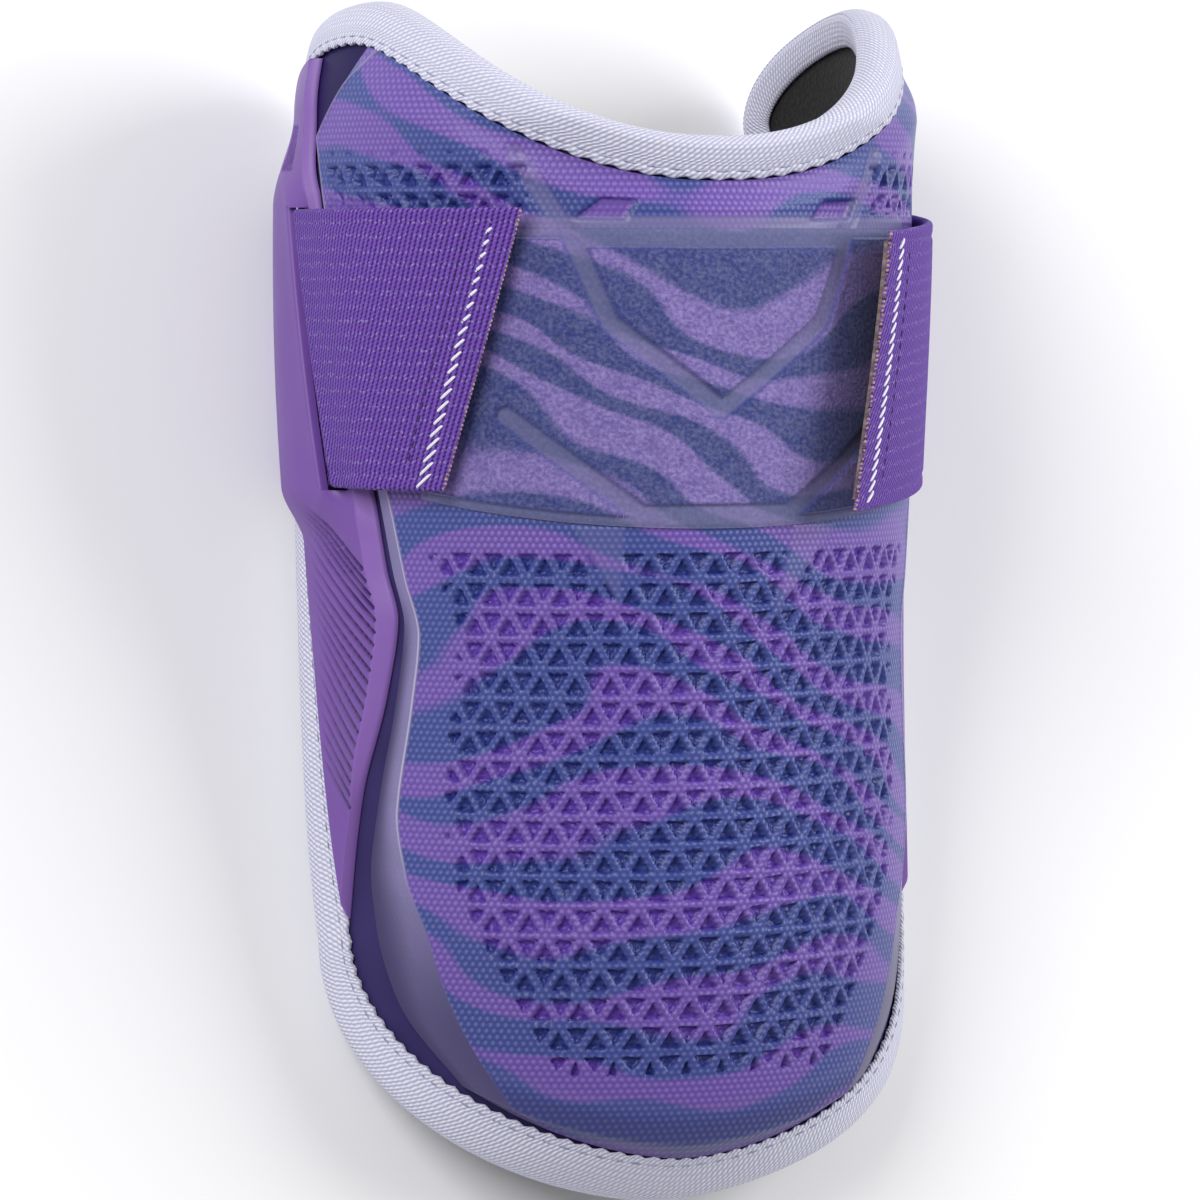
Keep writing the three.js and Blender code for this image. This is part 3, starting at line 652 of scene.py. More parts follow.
def weave(tree, at, pitch, weights=(1.0, 1.0, 1.0)):
    """Staggered dots of a weave from three sets of waves, from -1.5 between the dots to 3 on them."""
    turns = 2 / (math.sqrt(3) * pitch)
    parts = []
    for degrees, weight in zip(TRIANGLE_WAYS, weights):
        way = math.radians(degrees)
        parts.append((wave(tree, at, (turns * math.cos(way), turns * math.sin(way), 0)), weight))
    return weighted_sum(tree, *parts)


# Octaves of a noise pattern.
SOFT, PLAIN, ROUGH = 1.0, 2.0, 3.0
# The print: the way across its waves, their slow sway in millimetres, how it is drawn out sideways, the drift
# and the tongues of the waves, with scales for one wave, and the levels between which blue turns to purple.
PRINT = {
    "climb": (0.2, 1.0, 0.0), "sway_turns": (0.009, 0.0062, 0.0), "sway": 10.0, "stretch": (0.55, 1.0, 1.0),
    "drift_scale": 0.4, "drift": 2.2, "tongue_scale": 0.65, "tongues": 4.6, "levels": (2.12, 2.73),
}


def wavy_print(tree, at, wavelength):
    """Share of purple in the two-tone waves of the print, which run on from the plate to the loop field."""
    height = add(tree, "dot", at, PRINT["climb"])
    slow = wave(tree, at, PRINT["sway_turns"])
    stretched = add(tree, "scaled", at, PRINT["stretch"])
    drift = add(tree, "noise", stretched, PRINT["drift_scale"] / wavelength, SOFT)
    moved = weighted_sum(tree, (height, 1.0), (slow, PRINT["sway"]), (drift, PRINT["drift"] * wavelength))
    band = add(tree, "cosine", add(tree, "times", moved, 2 * math.pi / wavelength))
    tongues = add(tree, "noise", stretched, PRINT["tongue_scale"] / wavelength, SOFT)
    waves = weighted_sum(tree, (band, 1.0), (tongues, PRINT["tongues"]))
    return add(tree, "step", waves, *PRINT["levels"])


def relief_of(tree, part):
    """One of the three shares of a shaded point that the mesh stores: X, Y or Z."""
    return add(tree, "parts", add(tree, "relief", output="Vector"), output=part)


# Levels at which the dots, the gaps and the mottle of the weave come in, the share to which each shows, and
# the depth of its bump. Noise scales here and below are for each millimetre.
WEAVE_LOOK = {
    "dot": (0.6, 2.9), "dot_share": 0.24, "gap": (0.0, -1.5), "gap_share": 0.4,
    "mottle_scale": 1.1, "mottle": (0.48, 0.8), "film_share": 0.85, "depth": 0.03,
}


def printed_weave(colours, plate):
    """Printed fabric moulded under a clear skin.

    The eye sees blue and purple waves behind rows of pale dots, deeper and plainer in the pockets of the
    lattice, and greyed by the thicker skin along the borders. The relief field holds the pockets, up to 2 in
    the eye-shaped ones, the film with a painted highlight line at the lower fold, up to 2 on the painted
    highlight along the crest of the bevel, and painted shade in the shell's colour.
    """
    made, tree, shader = new_material(
        "printed_fabric_under_tpu", Roughness=0.4, IOR=1.5, Specular_IOR_Level=0.35, Coat_Weight=0.05
    )
    at = add(tree, "surface", output="Vector")
    purple = wavy_print(tree, at, plate.print_wave / MM)
    tones = add(tree, "blend", purple, colours.plate_blue, colours.plate_purple)
    dots = weave(tree, at, plate.weave_pitch / MM)
    look = WEAVE_LOOK
    dot_share = add(tree, "times", add(tree, "step", dots, *look["dot"]), look["dot_share"])
    gap_share = add(tree, "times", add(tree, "step", dots, *look["gap"]), look["gap_share"])
    dotted = add(tree, "blend", dot_share, tones, colours.plate_dot)
    woven = add(tree, "blend", gap_share, dotted, colours.deep_blue)
    mottle = add(tree, "noise", at, look["mottle_scale"], PLAIN)
    deep = add(tree, "blend", purple, colours.deep_blue, colours.deep_purple)
    mottled = add(tree, "blend", add(tree, "step", mottle, *look["mottle"]), deep, tones)
    pocket, border = relief_of(tree, "X"), relief_of(tree, "Y")
    pressed = add(tree, "blend", pocket, woven, mottled)
    eyed = add(tree, "blend", add(tree, "step", pocket, 1.0, 2.0), pressed, colours.plate_purple)
    film = add(tree, "step", border, 0.0, 1.0)
    # Film colour, turning to the painted highlight on the crest of the bevel.
    film_and_crest_highlight = add(tree, "blend", add(tree, "step", border, 1.0, 2.0), colours.film, colours.film_crest_highlight)
    filmed = add(tree, "blend", add(tree, "times", film, look["film_share"]), eyed, film_and_crest_highlight)
    # Painted shade: the shell's colour mixed in at the foot of the bevel and at the lower end.
    shaded = add(tree, "blend", relief_of(tree, "Z"), filmed, colours.shell)
    height = add(tree, "times", dots, add(tree, "less", 1.0, film))
    finish_with(tree, shader, shaded, height, look["depth"])
    return made


# Scales and levels of the loop's mottle, shares of its dark and light fibres, of the film and of the painted
# shade along the borders of the pressed lines, and how much of the bump the film takes away.
LOOP_LOOK = {
    "fine_scale": 1.3, "coarse_scale": 0.3, "coarse": 0.3, "light": (0.45, 0.9), "low_share": 0.36,
    "high_share": 0.1, "film_share": 0.6, "edge_shade_share": 0.6, "film_bump": -0.7, "depth": 0.35,
}


def brushed_loop(colours, plate):
    """Brushed nylon loop pile.

    The eye sees soft mottled blue and pink-purple, flattened to a grey-blue film in the pressed lines, with
    thin borders of painted shade where the pile steps down into them. The relief field holds the film and the
    painted shade of the borders.
    """
    made, tree, shader = new_material(
        "brushed_nylon_loop", Roughness=0.95, IOR=1.5, Sheen_Weight=0.2, Sheen_Roughness=0.5
    )
    at = add(tree, "surface", output="Vector")
    purple = wavy_print(tree, at, plate.print_wave / MM)
    tones = add(tree, "blend", purple, colours.loop_blue, colours.loop_purple)
    look = LOOP_LOOK
    fine = add(tree, "noise", at, look["fine_scale"], ROUGH)
    coarse = add(tree, "noise", at, look["coarse_scale"], PLAIN)
    light = add(tree, "step", weighted_sum(tree, (fine, 1.0), (coarse, look["coarse"])), *look["light"])
    low_pile = add(tree, "blend", look["low_share"], tones, colours.deep_blue)
    high_pile = add(tree, "blend", look["high_share"], tones, colours.tape)
    piled = add(tree, "blend", light, low_pile, high_pile)
    film = relief_of(tree, "X")
    clouded = add(tree, "blend", look["film_share"], piled, colours.loop_film)
    filmed = add(tree, "blend", film, piled, clouded)
    # Painted shade along the borders of the pressed lines.
    edge_shade_share = add(tree, "times", relief_of(tree, "Y"), look["edge_shade_share"])
    edge_shaded = add(tree, "blend", edge_shade_share, filmed, colours.deep_blue)
    height = add(tree, "times", fine, add(tree, "times_plus", film, look["film_bump"], 1.0))
    finish_with(tree, shader, edge_shaded, height, look["depth"])
    return made


# Clouds of the satin plastic, and its grain, drawn at 0.6 mm, coarser than the real one, so that it shows.
SATIN_LOOK = {
    "cloud_scale": 0.07, "cloud": (0.3, 0.8), "cloud_share": 0.35, "grain_scale": 1.7, "depth": 0.02
}
SHELL_GLOSS = 0.05
PANEL_GLOSS = 0.3


def satin_plastic(name, base, light, shaded, edge, gloss):
    """Satin moulded plastic: faintly cloudy, with painted shade where its relief field's X is set and a
    painted highlight on its edge where Y is set.
    """
    made, tree, shader = new_material(name, Roughness=0.4, IOR=1.5, Specular_IOR_Level=gloss)
    at = add(tree, "surface", output="Vector")
    look = SATIN_LOOK
    cloud = add(tree, "step", add(tree, "noise", at, look["cloud_scale"], PLAIN), *look["cloud"])
    body = add(tree, "blend", add(tree, "times", cloud, look["cloud_share"]), base, light)
    # Painted highlight on the panel's chamfer where relief Y is set.
    chamfer_highlighted = add(tree, "blend", relief_of(tree, "Y"), body, edge)
    # Painted shade mixed in where relief X is set: the floors of the grooves and the hollow of the ears.
    with_painted_shade = add(tree, "blend", relief_of(tree, "X"), chamfer_highlighted, shaded)
    grain = add(tree, "noise", at, look["grain_scale"], PLAIN)
    finish_with(tree, shader, with_painted_shade, grain, look["depth"])
    return made


TWILL_LOOK = {"weights": (0.45, 1.3, 0.6), "raised": (-1.3, 1.2), "depth": 0.05}


def twill_tape(colours, tape):
    """Polyester twill tape: fine slanting ribs of raised pale dots with blue-grey gaps."""
    made, tree, shader = new_material(
        "polyester_twill_tape", Roughness=0.85, IOR=1.5, Sheen_Weight=0.12, Sheen_Roughness=0.4
    )
    at = add(tree, "surface", output="Vector")
    ribs = weave(tree, at, tape.rib_pitch / MM, TWILL_LOOK["weights"])
    raised = add(tree, "step", ribs, *TWILL_LOOK["raised"])
    threads = add(tree, "blend", raised, colours.tape_gap, colours.tape)
    finish_with(tree, shader, threads, ribs, TWILL_LOOK["depth"])
    return made


# Turns of the rows and courses of yarn for one cord, the weights of what raises the cords and of what places
# the pale specks, and the levels at which each shows.
WEBBING_LOOK = {
    "row_turns": (0.5, 1.3), "course_turns": 0.42, "yarn_scale": 1.9, "cord": 0.7, "row": 0.3, "yarn": 0.5,
    "raised": (-0.75, 0.8), "speck_course": 0.09, "speck_cord": 0.05, "speck": (0.64, 0.74),
    "speck_share": 0.17, "depth": 0.07,
}


def ribbed_webbing(colours, strap):
    """Woven elastic webbing: close cords across its width, crossed by rows of short pale specks of yarn."""
    made, tree, shader = new_material(
        "ribbed_elastic_webbing", Roughness=0.85, IOR=1.5, Specular_IOR_Level=0.25, Sheen_Weight=0.03
    )
    at = add(tree, "surface", output="Vector")
    turns = MM / strap.cord_pitch
    cords = wave(tree, at, (turns, 0, 0))
    look = WEBBING_LOOK
    rows = wave(tree, at, (look["row_turns"][0] * turns, look["row_turns"][1] * turns, 0))
    courses = wave(tree, at, (0, look["course_turns"] * turns, 0))
    yarn = add(tree, "noise", at, look["yarn_scale"], SOFT)
    height = weighted_sum(tree, (cords, look["cord"]), (rows, look["row"]))
    raised = add(tree, "step", weighted_sum(tree, (height, 1.0), (yarn, look["yarn"])), *look["raised"])
    body = add(tree, "blend", raised, colours.strap_gap, colours.strap)
    pale = weighted_sum(tree, (yarn, 1.0), (courses, look["speck_course"]), (cords, look["speck_cord"]))
    speck = add(tree, "times", add(tree, "step", pale, *look["speck"]), look["speck_share"])
    specked = add(tree, "blend", speck, body, colours.tape)
    finish_with(tree, shader, specked, height, look["depth"])
    return made


# Grain of the thread in millimetres, the levels at which the light tone of thread and cloth comes in, and the
# depths of their bumps.
THREAD_LOOK = {"grain": 0.6, "light": (0.35, 0.62), "depth": 0.05}
CLOTH_LOOK = {"light": (0.4, 0.75), "depth": 0.3}


def spun_thread(name, base, shaded):
    """Spun polyester thread: two close tones in fine grain."""
    made, tree, shader = new_material(name, Roughness=0.7, IOR=1.5, Sheen_Weight=0.1)
    at = add(tree, "place", output="Object")
    grain = add(tree, "noise", at, 1 / (THREAD_LOOK["grain"] * MM), PLAIN)
    tone = add(tree, "blend", add(tree, "step", grain, *THREAD_LOOK["light"]), shaded, base)
    finish_with(tree, shader, tone, grain, THREAD_LOOK["depth"])
    return made


def brushed_cloth(name, base, fleck, size):
    """Brushed or hooked cloth: dark fibres with soft lighter flecks."""
    made, tree, shader = new_material(
        name, Roughness=0.95, IOR=1.5, Sheen_Weight=0.06, Sheen_Roughness=0.5
    )
    at = add(tree, "surface", output="Vector")
    fibres = add(tree, "noise", at, 1 / size, ROUGH)
    tone = add(tree, "blend", add(tree, "step", fibres, *CLOTH_LOOK["light"]), base, fleck)
    finish_with(tree, shader, tone, fibres, CLOTH_LOOK["depth"])
    return made


def put_on(made, material, slot, *nodes):
    """Gives a piece its material, rides it on the guard and lets it stand for its CAD nodes."""
    made.data.materials.append(material)
    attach(made, "root")
    if nodes:
        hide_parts(*nodes)
    return made


def pattern_field(angle, along):
    """The surface field of a piece: millimetres round the outside and along the arm."""
    return field(angle * PATTERN_PER_DEGREE, along)


PAD_SPAN = 190
PAD_SPACING = 2.1
LINING = {"fill": 0.6, "fleck": 0.9}
LINING_SWELL = {"height": 0.15, "across": 6, "along": 14}
# Painted shade over the violet sheet toward the ears, from a distance along and over a reach.
EAR_SHADE = {"low": 182, "reach": 14}


def pad_grid():
    """Angles and distances along of a grid over the whole pad."""
    borders = pad_borders()
    patch = patch_between(borders["bottom"], borders["top"], borders["left"], borders["right"])
    even = shares(PAD_SPAN, PAD_SPACING)
    return patch(even[:, None], even[None, :])


def make_lining(colours):
    """The foam pad with its brushed black lining."""
    angle, along = pad_grid()
    # The foam swells a little between the bound edges.
    waves = np.sin(np.radians(angle * LINING_SWELL["across"])) * np.sin(along / LINING_SWELL["along"])
    inner = place(angle, along, LINING_SWELL["height"] * waves)
    outer = place(angle, along, PAD_TOP)
    made = sheet_object("lining_pad", outer, inner, {"surface": pattern_field(angle, along)})
    cloth = brushed_cloth("brushed_polyester_lining", colours.lining, colours.lining_fleck, LINING["fleck"])
    put_on(made, cloth, "lining_fabric", "pad_lining")


def make_shell(colours):
    """The dark moulded sheet that shows at the ears and beside the plate."""
    angle, along = pad_grid()
    outer = place(angle, along, SHELL_TOP)
    inner = place(angle, along, SHELL_LOW)
    # Painted shade darkens the sheet toward the hollow of the ears.
    hollow = smooth((along - EAR_SHADE["low"]) / EAR_SHADE["reach"])
    fields = {"surface": pattern_field(angle, along), "relief": field(hollow)}
    made = sheet_object("moulded_shell", outer, inner, fields)
    tones = (colours.shell, colours.shell_light, colours.shell_hollow_shade, colours.shell_light)
    skin = satin_plastic("satin_violet_tpu", *tones, SHELL_GLOSS)
    put_on(made, skin, "dark_shell", "base_shell")


# Rows of the plate's grid as a far end and a spacing, in millimetres: fine on the lattice and coarse
# under the loop field.
PLATE_ROWS = (
    (0.4, 0.2), (1.2, 0.4), (15, 0.6), (116, 0.44), (154, 1.6), (175.4, 0.5), (176.2, 0.4), (176.6, 0.2)
)
PLATE_UP = 176.6
# Columns of the plate's grid: on a bevel as shares of its width, in millimetres past its crest, then even.
BEVEL_COLUMNS = (0, 0.03, 0.08, 0.2, 0.35, 0.5, 0.65, 0.78, 0.87, 0.93, 0.97, 1)
CREST_COLUMNS = (0.15, 0.35, 0.6)
EVEN_COLUMNS = 236
# Columns and rows of the grid in one cell of the hidden back of the plate and of the loop field.
BACK_STEP = 12
PLATE_END = {"offset": 5.95, "reach": 7}
# The fine crest along the top of the bevel, a raised bead with a painted highlight, fades out at a low place.
# Painted shade darkens the foot of the bevel up to a high place, over more of its width low down, and near
# the lower end it covers the whole bevel.
CREST = {"height": 0.22, "width": 0.32, "low": 46, "reach": 26}
BEVEL_FOOT_SHADE = {"high": 112, "reach": 16, "steep": (0.8, 1.3), "low": 38, "rise": 40}
LOW_BEVEL_SHADE = {"high": 64, "reach": 36, "share": 0.8}
# How thick the film lies on the legs, on the shoulders and along the upper rim of the loop field.
FILM_SHARE = {"leg": 0.3, "shoulder": 0.5, "rim": 0.7}
# The lower end slopes down to the tape: painted shade below a faint painted highlight line at a distance up
# from the end.
LOWER_FOLD = {"up": 15, "width": 1.8, "light": 0.22, "shade": 0.42, "reach": 5}
# The film thins out over the upper part of the bevel.
THIN_FILM = {"low": 172, "reach": 12, "share": 0.7}
LATTICE = {
    "low": 19, "low_reach": 6.5, "high": 117.5, "high_reach": 1.6, "side_reach": 5, "wall": 0.42, "fade": 3
}
# Half width of the lattice as an angle, where its pockets have shrunk to a few tenths of their size.
LATTICE_SIDE = {
    "along": (24, 36, 49, 60, 78, 95, 105, 118),
    "angle": (26.4, 34, 41.4, 45.5, 48, 46.6, 48.2, 54.5),
    "share": 0.3,
}
UPPER_LATTICE = {"low": 174.5, "high": 187.5, "inner": 33, "outer": 82, "reach": 2.5}
# How far in millimetres the pressed places blend into the plate.
BLEND = {"eye": 0.8, "leg": 1.2, "channel": 0.5}
EYE_DEPTH = 0.75


def graded(start, spans):
    """Places from a start through spans, each a far end and a spacing."""
    places = [start]
    for end, spacing in spans:
        count = max(1, round((end - places[-1]) / spacing))
        places.extend(np.linspace(places[-1], end, count + 1)[1:])
    return np.array(places)


def plate_side():
    """Angles and distances along of the plate's right border, from its lower to its upper corner."""
    along = np.linspace(PLATE_EDGE["along"][0], PLATE_EDGE["along"][-1], OUTLINE_SAMPLES)
    angle = table_curve(PLATE_EDGE, "angle", along)
    low = lower_edge(PLATE_BOTTOM_ANGLE, BOTTOM_INSET)
    high = dip_edge(PLATE_TOP_ANGLE, INSET)
    side_angle = np.concatenate(([PLATE_BOTTOM_ANGLE], angle, [PLATE_TOP_ANGLE]))
    return side_angle, np.concatenate(([low], along, [high]))


def plate_grid():
    """A fine grid over the plate: angles, distances along, shares up it, up its bevel, and past the crest."""
    side_angle, side_along = plate_side()

    def bottom(u):
        angle = mix(-PLATE_BOTTOM_ANGLE, PLATE_BOTTOM_ANGLE, u)
        return angle, lower_edge(angle, BOTTOM_INSET)

    def top(u):
        angle = mix(-PLATE_TOP_ANGLE, PLATE_TOP_ANGLE, u)
        return angle, dip_edge(angle, INSET)

    left, right = way_along(-side_angle, side_along), way_along(side_angle, side_along)
    v = graded(0.0, PLATE_ROWS)[None, :] / PLATE_UP
    edge_angle, edge_along = right(v)
    across = 2 * edge_angle * per_degree(edge_along)
    crest = table_curve(PLATE_EDGE, "bevel", edge_along) / across
    on_bevel = np.array(BEVEL_COLUMNS)[:, None] * crest
    past_it = crest + np.array(CREST_COLUMNS)[:, None] / across
    beside = np.concatenate((on_bevel, past_it))
    between = mix(beside[-1], 1 - beside[-1], np.linspace(0, 1, EVEN_COLUMNS)[1:-1, None])
    u = np.concatenate((beside, between, 1 - beside[::-1]))
    angle, along = patch_between(bottom, top, left, right)(u, v)
    inward = np.minimum(u, 1 - u)
    return angle, along, v, np.clip(inward / crest, 0, 1), (inward - crest) * across


def lattice_depth(angle, along, plate):
    """Depth share of the pockets: three sets of bars leave triangles, which shrink toward the borders."""
    pitch = plate.lattice_pitch / MM
    row = pitch * math.sqrt(3) / 2
    nearest = np.full(angle.shape, np.inf)
    for degrees in TRIANGLE_WAYS:
        way = math.radians(degrees)
        turns = (angle * PATTERN_PER_DEGREE * math.cos(way) + along * math.sin(way)) / row
        nearest = np.minimum(nearest, np.abs(turns - np.round(turns)) * row)
    lower = smooth((along - LATTICE["low"]) / LATTICE["low_reach"])
    upper = smooth((LATTICE["high"] - along) / LATTICE["high_reach"])
    inside = (table_curve(LATTICE_SIDE, "angle", along) - np.abs(angle)) * per_degree(along)
    inward = smooth(inside / LATTICE["side_reach"] + LATTICE_SIDE["share"])
    reach = UPPER_LATTICE["reach"]
    band = smooth((along - UPPER_LATTICE["low"]) / reach) * smooth((UPPER_LATTICE["high"] - along) / reach)
    band *= smooth((np.abs(angle) - UPPER_LATTICE["inner"]) / reach)
    band *= smooth((UPPER_LATTICE["outer"] - np.abs(angle)) / reach)
    share = np.maximum(lower * upper * inward, band)
    half_bar = mix(row / 3, plate.bar_width / MM / 2, share)
    return smooth((nearest - half_bar) / LATTICE["wall"]) * smooth(share * LATTICE["fade"])


def largest_inside(angle, along, polygons, reach):
    """How far points lie inside any of some polygons, from 0 outside to 1 at a reach from the border."""
    return np.maximum.reduce([smooth(inside_polygon(angle, along, points) / reach) for points in polygons])


def make_plate(colours, plate):
    """The moulded front plate: bevelled border, pressed lattice, film legs and eye-shaped pockets."""
    angle, along, v, ramp, past_crest = plate_grid()
    from_end = np.minimum(v, 1 - v) * PLATE_UP
    top = mix(PLATE_END["offset"], PLATE_TOP, smooth(from_end / PLATE_END["reach"]))
    # The crest is a raised bead and also carries a painted highlight.
    crest = np.exp(-((past_crest / CREST["width"]) ** 2)) * smooth((along - CREST["low"]) / CREST["reach"])
    height = mix(PLATE_LOW + PLATE_LIP, top, ramp) + CREST["height"] * crest
    pocket = lattice_depth(angle, along, plate)
    eye = largest_inside(angle, along, EYES, BLEND["eye"])
    leg = largest_inside(angle, along, LEGS, BLEND["leg"])
    shoulder = np.zeros_like(angle)
    for points in SHOULDERS:
        beyond = distance_to_line(angle, along, points) - SHOULDER_HALF
        shoulder = np.maximum(shoulder, 1 - smooth(beyond / BLEND["channel"]))
    pocket = np.maximum(pocket * (1 - leg), EYE_DEPTH * eye)
    depth = plate.pocket_depth / MM * pocket - PLATE_RELIEF["leg"] * leg + PLATE_RELIEF["shoulder"] * shoulder
    rim = 1 - smooth((np.abs(along - LOOP_FIELD["high"]) - FILM_RIM["half"]) / FILM_RIM["fade"])
    rim *= smooth((LOOP_FIELD["high_angle"] + FILM_RIM["half"] - np.abs(angle)) / FILM_RIM["fade"])
    bevel = 1 - smooth(past_crest / CREST["width"])
    bevel *= 1 - THIN_FILM["share"] * smooth((along - THIN_FILM["low"]) / THIN_FILM["reach"])
    # A painted highlight line along the lower fold, with painted shade below it.
    below_fold = LOWER_FOLD["up"] - v * PLATE_UP
    fold_highlight = LOWER_FOLD["light"] * np.exp(-((below_fold / LOWER_FOLD["width"]) ** 2))
    lines = (FILM_SHARE["leg"] * leg, FILM_SHARE["shoulder"] * shoulder, FILM_SHARE["rim"] * rim)
    film = np.maximum(np.maximum.reduce((bevel, *lines)), fold_highlight)
    # Painted shade at the foot of the bevel, over the low bevel and below the lower fold.
    steep = mix(*BEVEL_FOOT_SHADE["steep"], smooth((along - BEVEL_FOOT_SHADE["low"]) / BEVEL_FOOT_SHADE["rise"]))
    bevel_foot_shade = (1 - smooth(ramp * steep)) * smooth((BEVEL_FOOT_SHADE["high"] - along) / BEVEL_FOOT_SHADE["reach"])
    lower = LOW_BEVEL_SHADE["share"] * bevel * smooth((LOW_BEVEL_SHADE["high"] - along) / LOW_BEVEL_SHADE["reach"])
    slope = LOWER_FOLD["shade"] * smooth(below_fold / LOWER_FOLD["reach"])
    dark = np.maximum(np.maximum(bevel_foot_shade, lower), slope)
    outer = place(angle, along, height - depth)
    inner = place(angle, along, PLATE_LOW)
    # Relief: the pockets, the film with the painted highlights of the crest and the fold, and the painted
    # shade.
    fields = {"surface": pattern_field(angle, along), "relief": field(pocket + eye, film + crest, dark)}
    made = sheet_object("printed_plate", outer, inner, fields, back_step=BACK_STEP)
    put_on(made, printed_weave(colours, plate), "printed_plate", "front_plate")


LOOP_SPACING = 0.4
LOOP_SPAN = {"across": 105, "up": 53}
LOOP_EDGE_ROLL = 0.9
# The wall of a pressed line, and the width of the painted shade along its border.
LOOP_LINE = {"wall": 0.4, "width": 0.28}
LOOP_FRAME_WIDTH = 1.6
LOOP_THINNEST = 0.1
PILE = {"seed": 7, "half_width": 0.035, "reach": (0.5, 1.1), "rise": (0.08, 0.38), "sink": 0.05}
# The root, the bend and the thin tip of a fibre, as shares of its reach, its rise and its width.
FIBRE = ((0.0, 0.0, 1.0), (0.55, 1.0, 0.9), (1.0, 0.6, 0.25))


def loop_point(u, v):
    """Angle and distance along of a point of the loop field, whose lower edge rises toward its corners."""
    angle = mix(-1, 1, u) * mix(LOOP_FIELD["low_angle"], LOOP_FIELD["high_angle"], v)
    low = LOOP_FIELD["low"] + LOOP_FIELD["corner_rise"] * mix(-1, 1, u) ** 2
    return angle, mix(low, LOOP_FIELD["high"], v)


def loop_lines(u, v, loop):
    """Distance beyond the border of the nearest pressed line or of the frame, negative within them."""
    angle, along = loop_point(u, v)
    figure = distance_to_line(angle, along, FIGURE, closed=True)
    nearest = np.minimum(figure, distance_to_line(angle, along, LOWER_LINE)) - loop.channel_width / MM / 2
    from_side = np.minimum(u, 1 - u) * LOOP_SPAN["across"]
    from_end = np.minimum(v, 1 - v) * LOOP_SPAN["up"]
    from_edge = np.minimum(from_side, from_end)
    return np.minimum(nearest, from_edge - LOOP_FRAME_WIDTH), from_edge


def make_loop_field(colours, plate, loop):
    """The brushed loop field with its pressed lines and a pile of short fibres."""
    u = shares(LOOP_SPAN["across"], LOOP_SPACING)[:, None]
    v = shares(LOOP_SPAN["up"], LOOP_SPACING)[None, :]
    angle, along = loop_point(u, v)
    beyond, from_edge = loop_lines(u, v, loop)
    pressed = 1 - smooth(beyond / LOOP_LINE["wall"])
    # Painted shade in a thin line along the border of each pressed line.
    line = np.exp(-(((beyond - LOOP_LINE["width"]) / LOOP_LINE["width"]) ** 2))
    height = LOOP_TOP - rolled(from_edge, LOOP_EDGE_ROLL) - loop.channel_depth / MM * pressed
    outer = place(angle, along, np.maximum(height, LOOP_LOW + LOOP_THINNEST))
    inner = place(angle, along, LOOP_LOW)
    fields = {"surface": pattern_field(angle, along), "relief": field(pressed, line)}
    made = sheet_object("loop_field", outer, inner, fields, back_step=BACK_STEP)
    material = brushed_loop(colours, plate)
    put_on(made, material, "loop_fabric", "loop_panel")
    pile = put_on(loop_pile(loop), material, "loop_fabric")


def loop_pile(loop):
    """Short flat fibres that stand up from the loop field, seeded so that they are the same each time."""
    dice = np.random.default_rng(PILE["seed"])
    u, v = dice.random(loop.fibres), dice.random(loop.fibres)
    stay = loop_lines(u, v, loop)[0] > LOOP_LINE["wall"]
    angle, along = loop_point(u[stay], v[stay])
    count = len(angle)
    heading = dice.uniform(0, 2 * np.pi, count)
    reach = loop.fibre_length / MM * dice.uniform(*PILE["reach"], count)
    rise = dice.uniform(*PILE["rise"], count)
    corners, places = [], []
    for share, lift, width in FIBRE:
        for half in (-width * PILE["half_width"], width * PILE["half_width"]):
            x = share * reach * np.cos(heading) - half * np.sin(heading)
            y = share * reach * np.sin(heading) + half * np.cos(heading)
            offset = LOOP_TOP - PILE["sink"] + lift * rise
            corners.append(place(angle + x / PATTERN_PER_DEGREE, along + y, offset))
            places.append(pattern_field(angle, along))
    each = len(corners)
    vertices = np.stack(corners, axis=1).reshape(-1, 3)
    fields = {"surface": np.stack(places, axis=1).reshape(-1, 3), "relief": np.zeros((count * each, 3))}
    first = (np.arange(count) * each)[:, None]
    faces = np.concatenate((first + (0, 1, 3, 2), first + (2, 3, 5, 4))).tolist()
    return mesh_object("loop_pile", vertices, faces, fields)


PANEL_ROW = 0.36
# Columns of a panel's grid before and behind its slot: about how wide it is there in millimetres, how many
# even columns it has, and the finer ones at both ends.
PANEL_COLUMNS = {
    "front": {"width": 16, "count": 46, "fine": (0.12, 0.3, 0.55, 0.8)},
    "rear": {"width": 9, "count": 24, "fine": (0.1, 0.25, 0.45, 0.65)},
}
SLOT_COLUMNS = 6
PANEL_BORDER_ROLL = 0.6
PANEL_LIP = 0.3
CHAMFER_FADE = 0.15
# Where a panel's columns part for the slot, as shares of its width away from the slot's ends.
PANEL_SPLIT = {"front": 0.66, "rear": 0.74, "reach": 16}
# The slanting grooves: steeper from one groove on, over a number of grooves, no nearer the rear border than
# some degrees, measured further up, and thinner toward the rear. Floor and wall are shares of half the width.
GROOVE = {
    "steep": (0.74, 1.05), "steep_from": 6, "steep_over": 8, "longest": 25, "rear": 1.5, "up": 10,
    "thin": 0.35, "floor": 0.5, "wall": 0.8, "high": 124, "fade": 4,
}
SHORT_GROOVES = {
    "count": 6, "first": 99.5, "pitch": 1.15, "low": 184, "high": 191.5, "depth": 0.7, "floor": 0.4
}


def slot_angle(along):
    """Where the middle of the slot lies round the arm."""
    return SLOT["angle"] + SLOT["slope"] * (along - STRAP["middle"])


def past_slot(along):
    """Distance along the arm past the nearer end of the slot, negative within it."""
    return np.abs(along - STRAP["middle"]) - STRAP["width"] / 2 - SLOT["margin"]


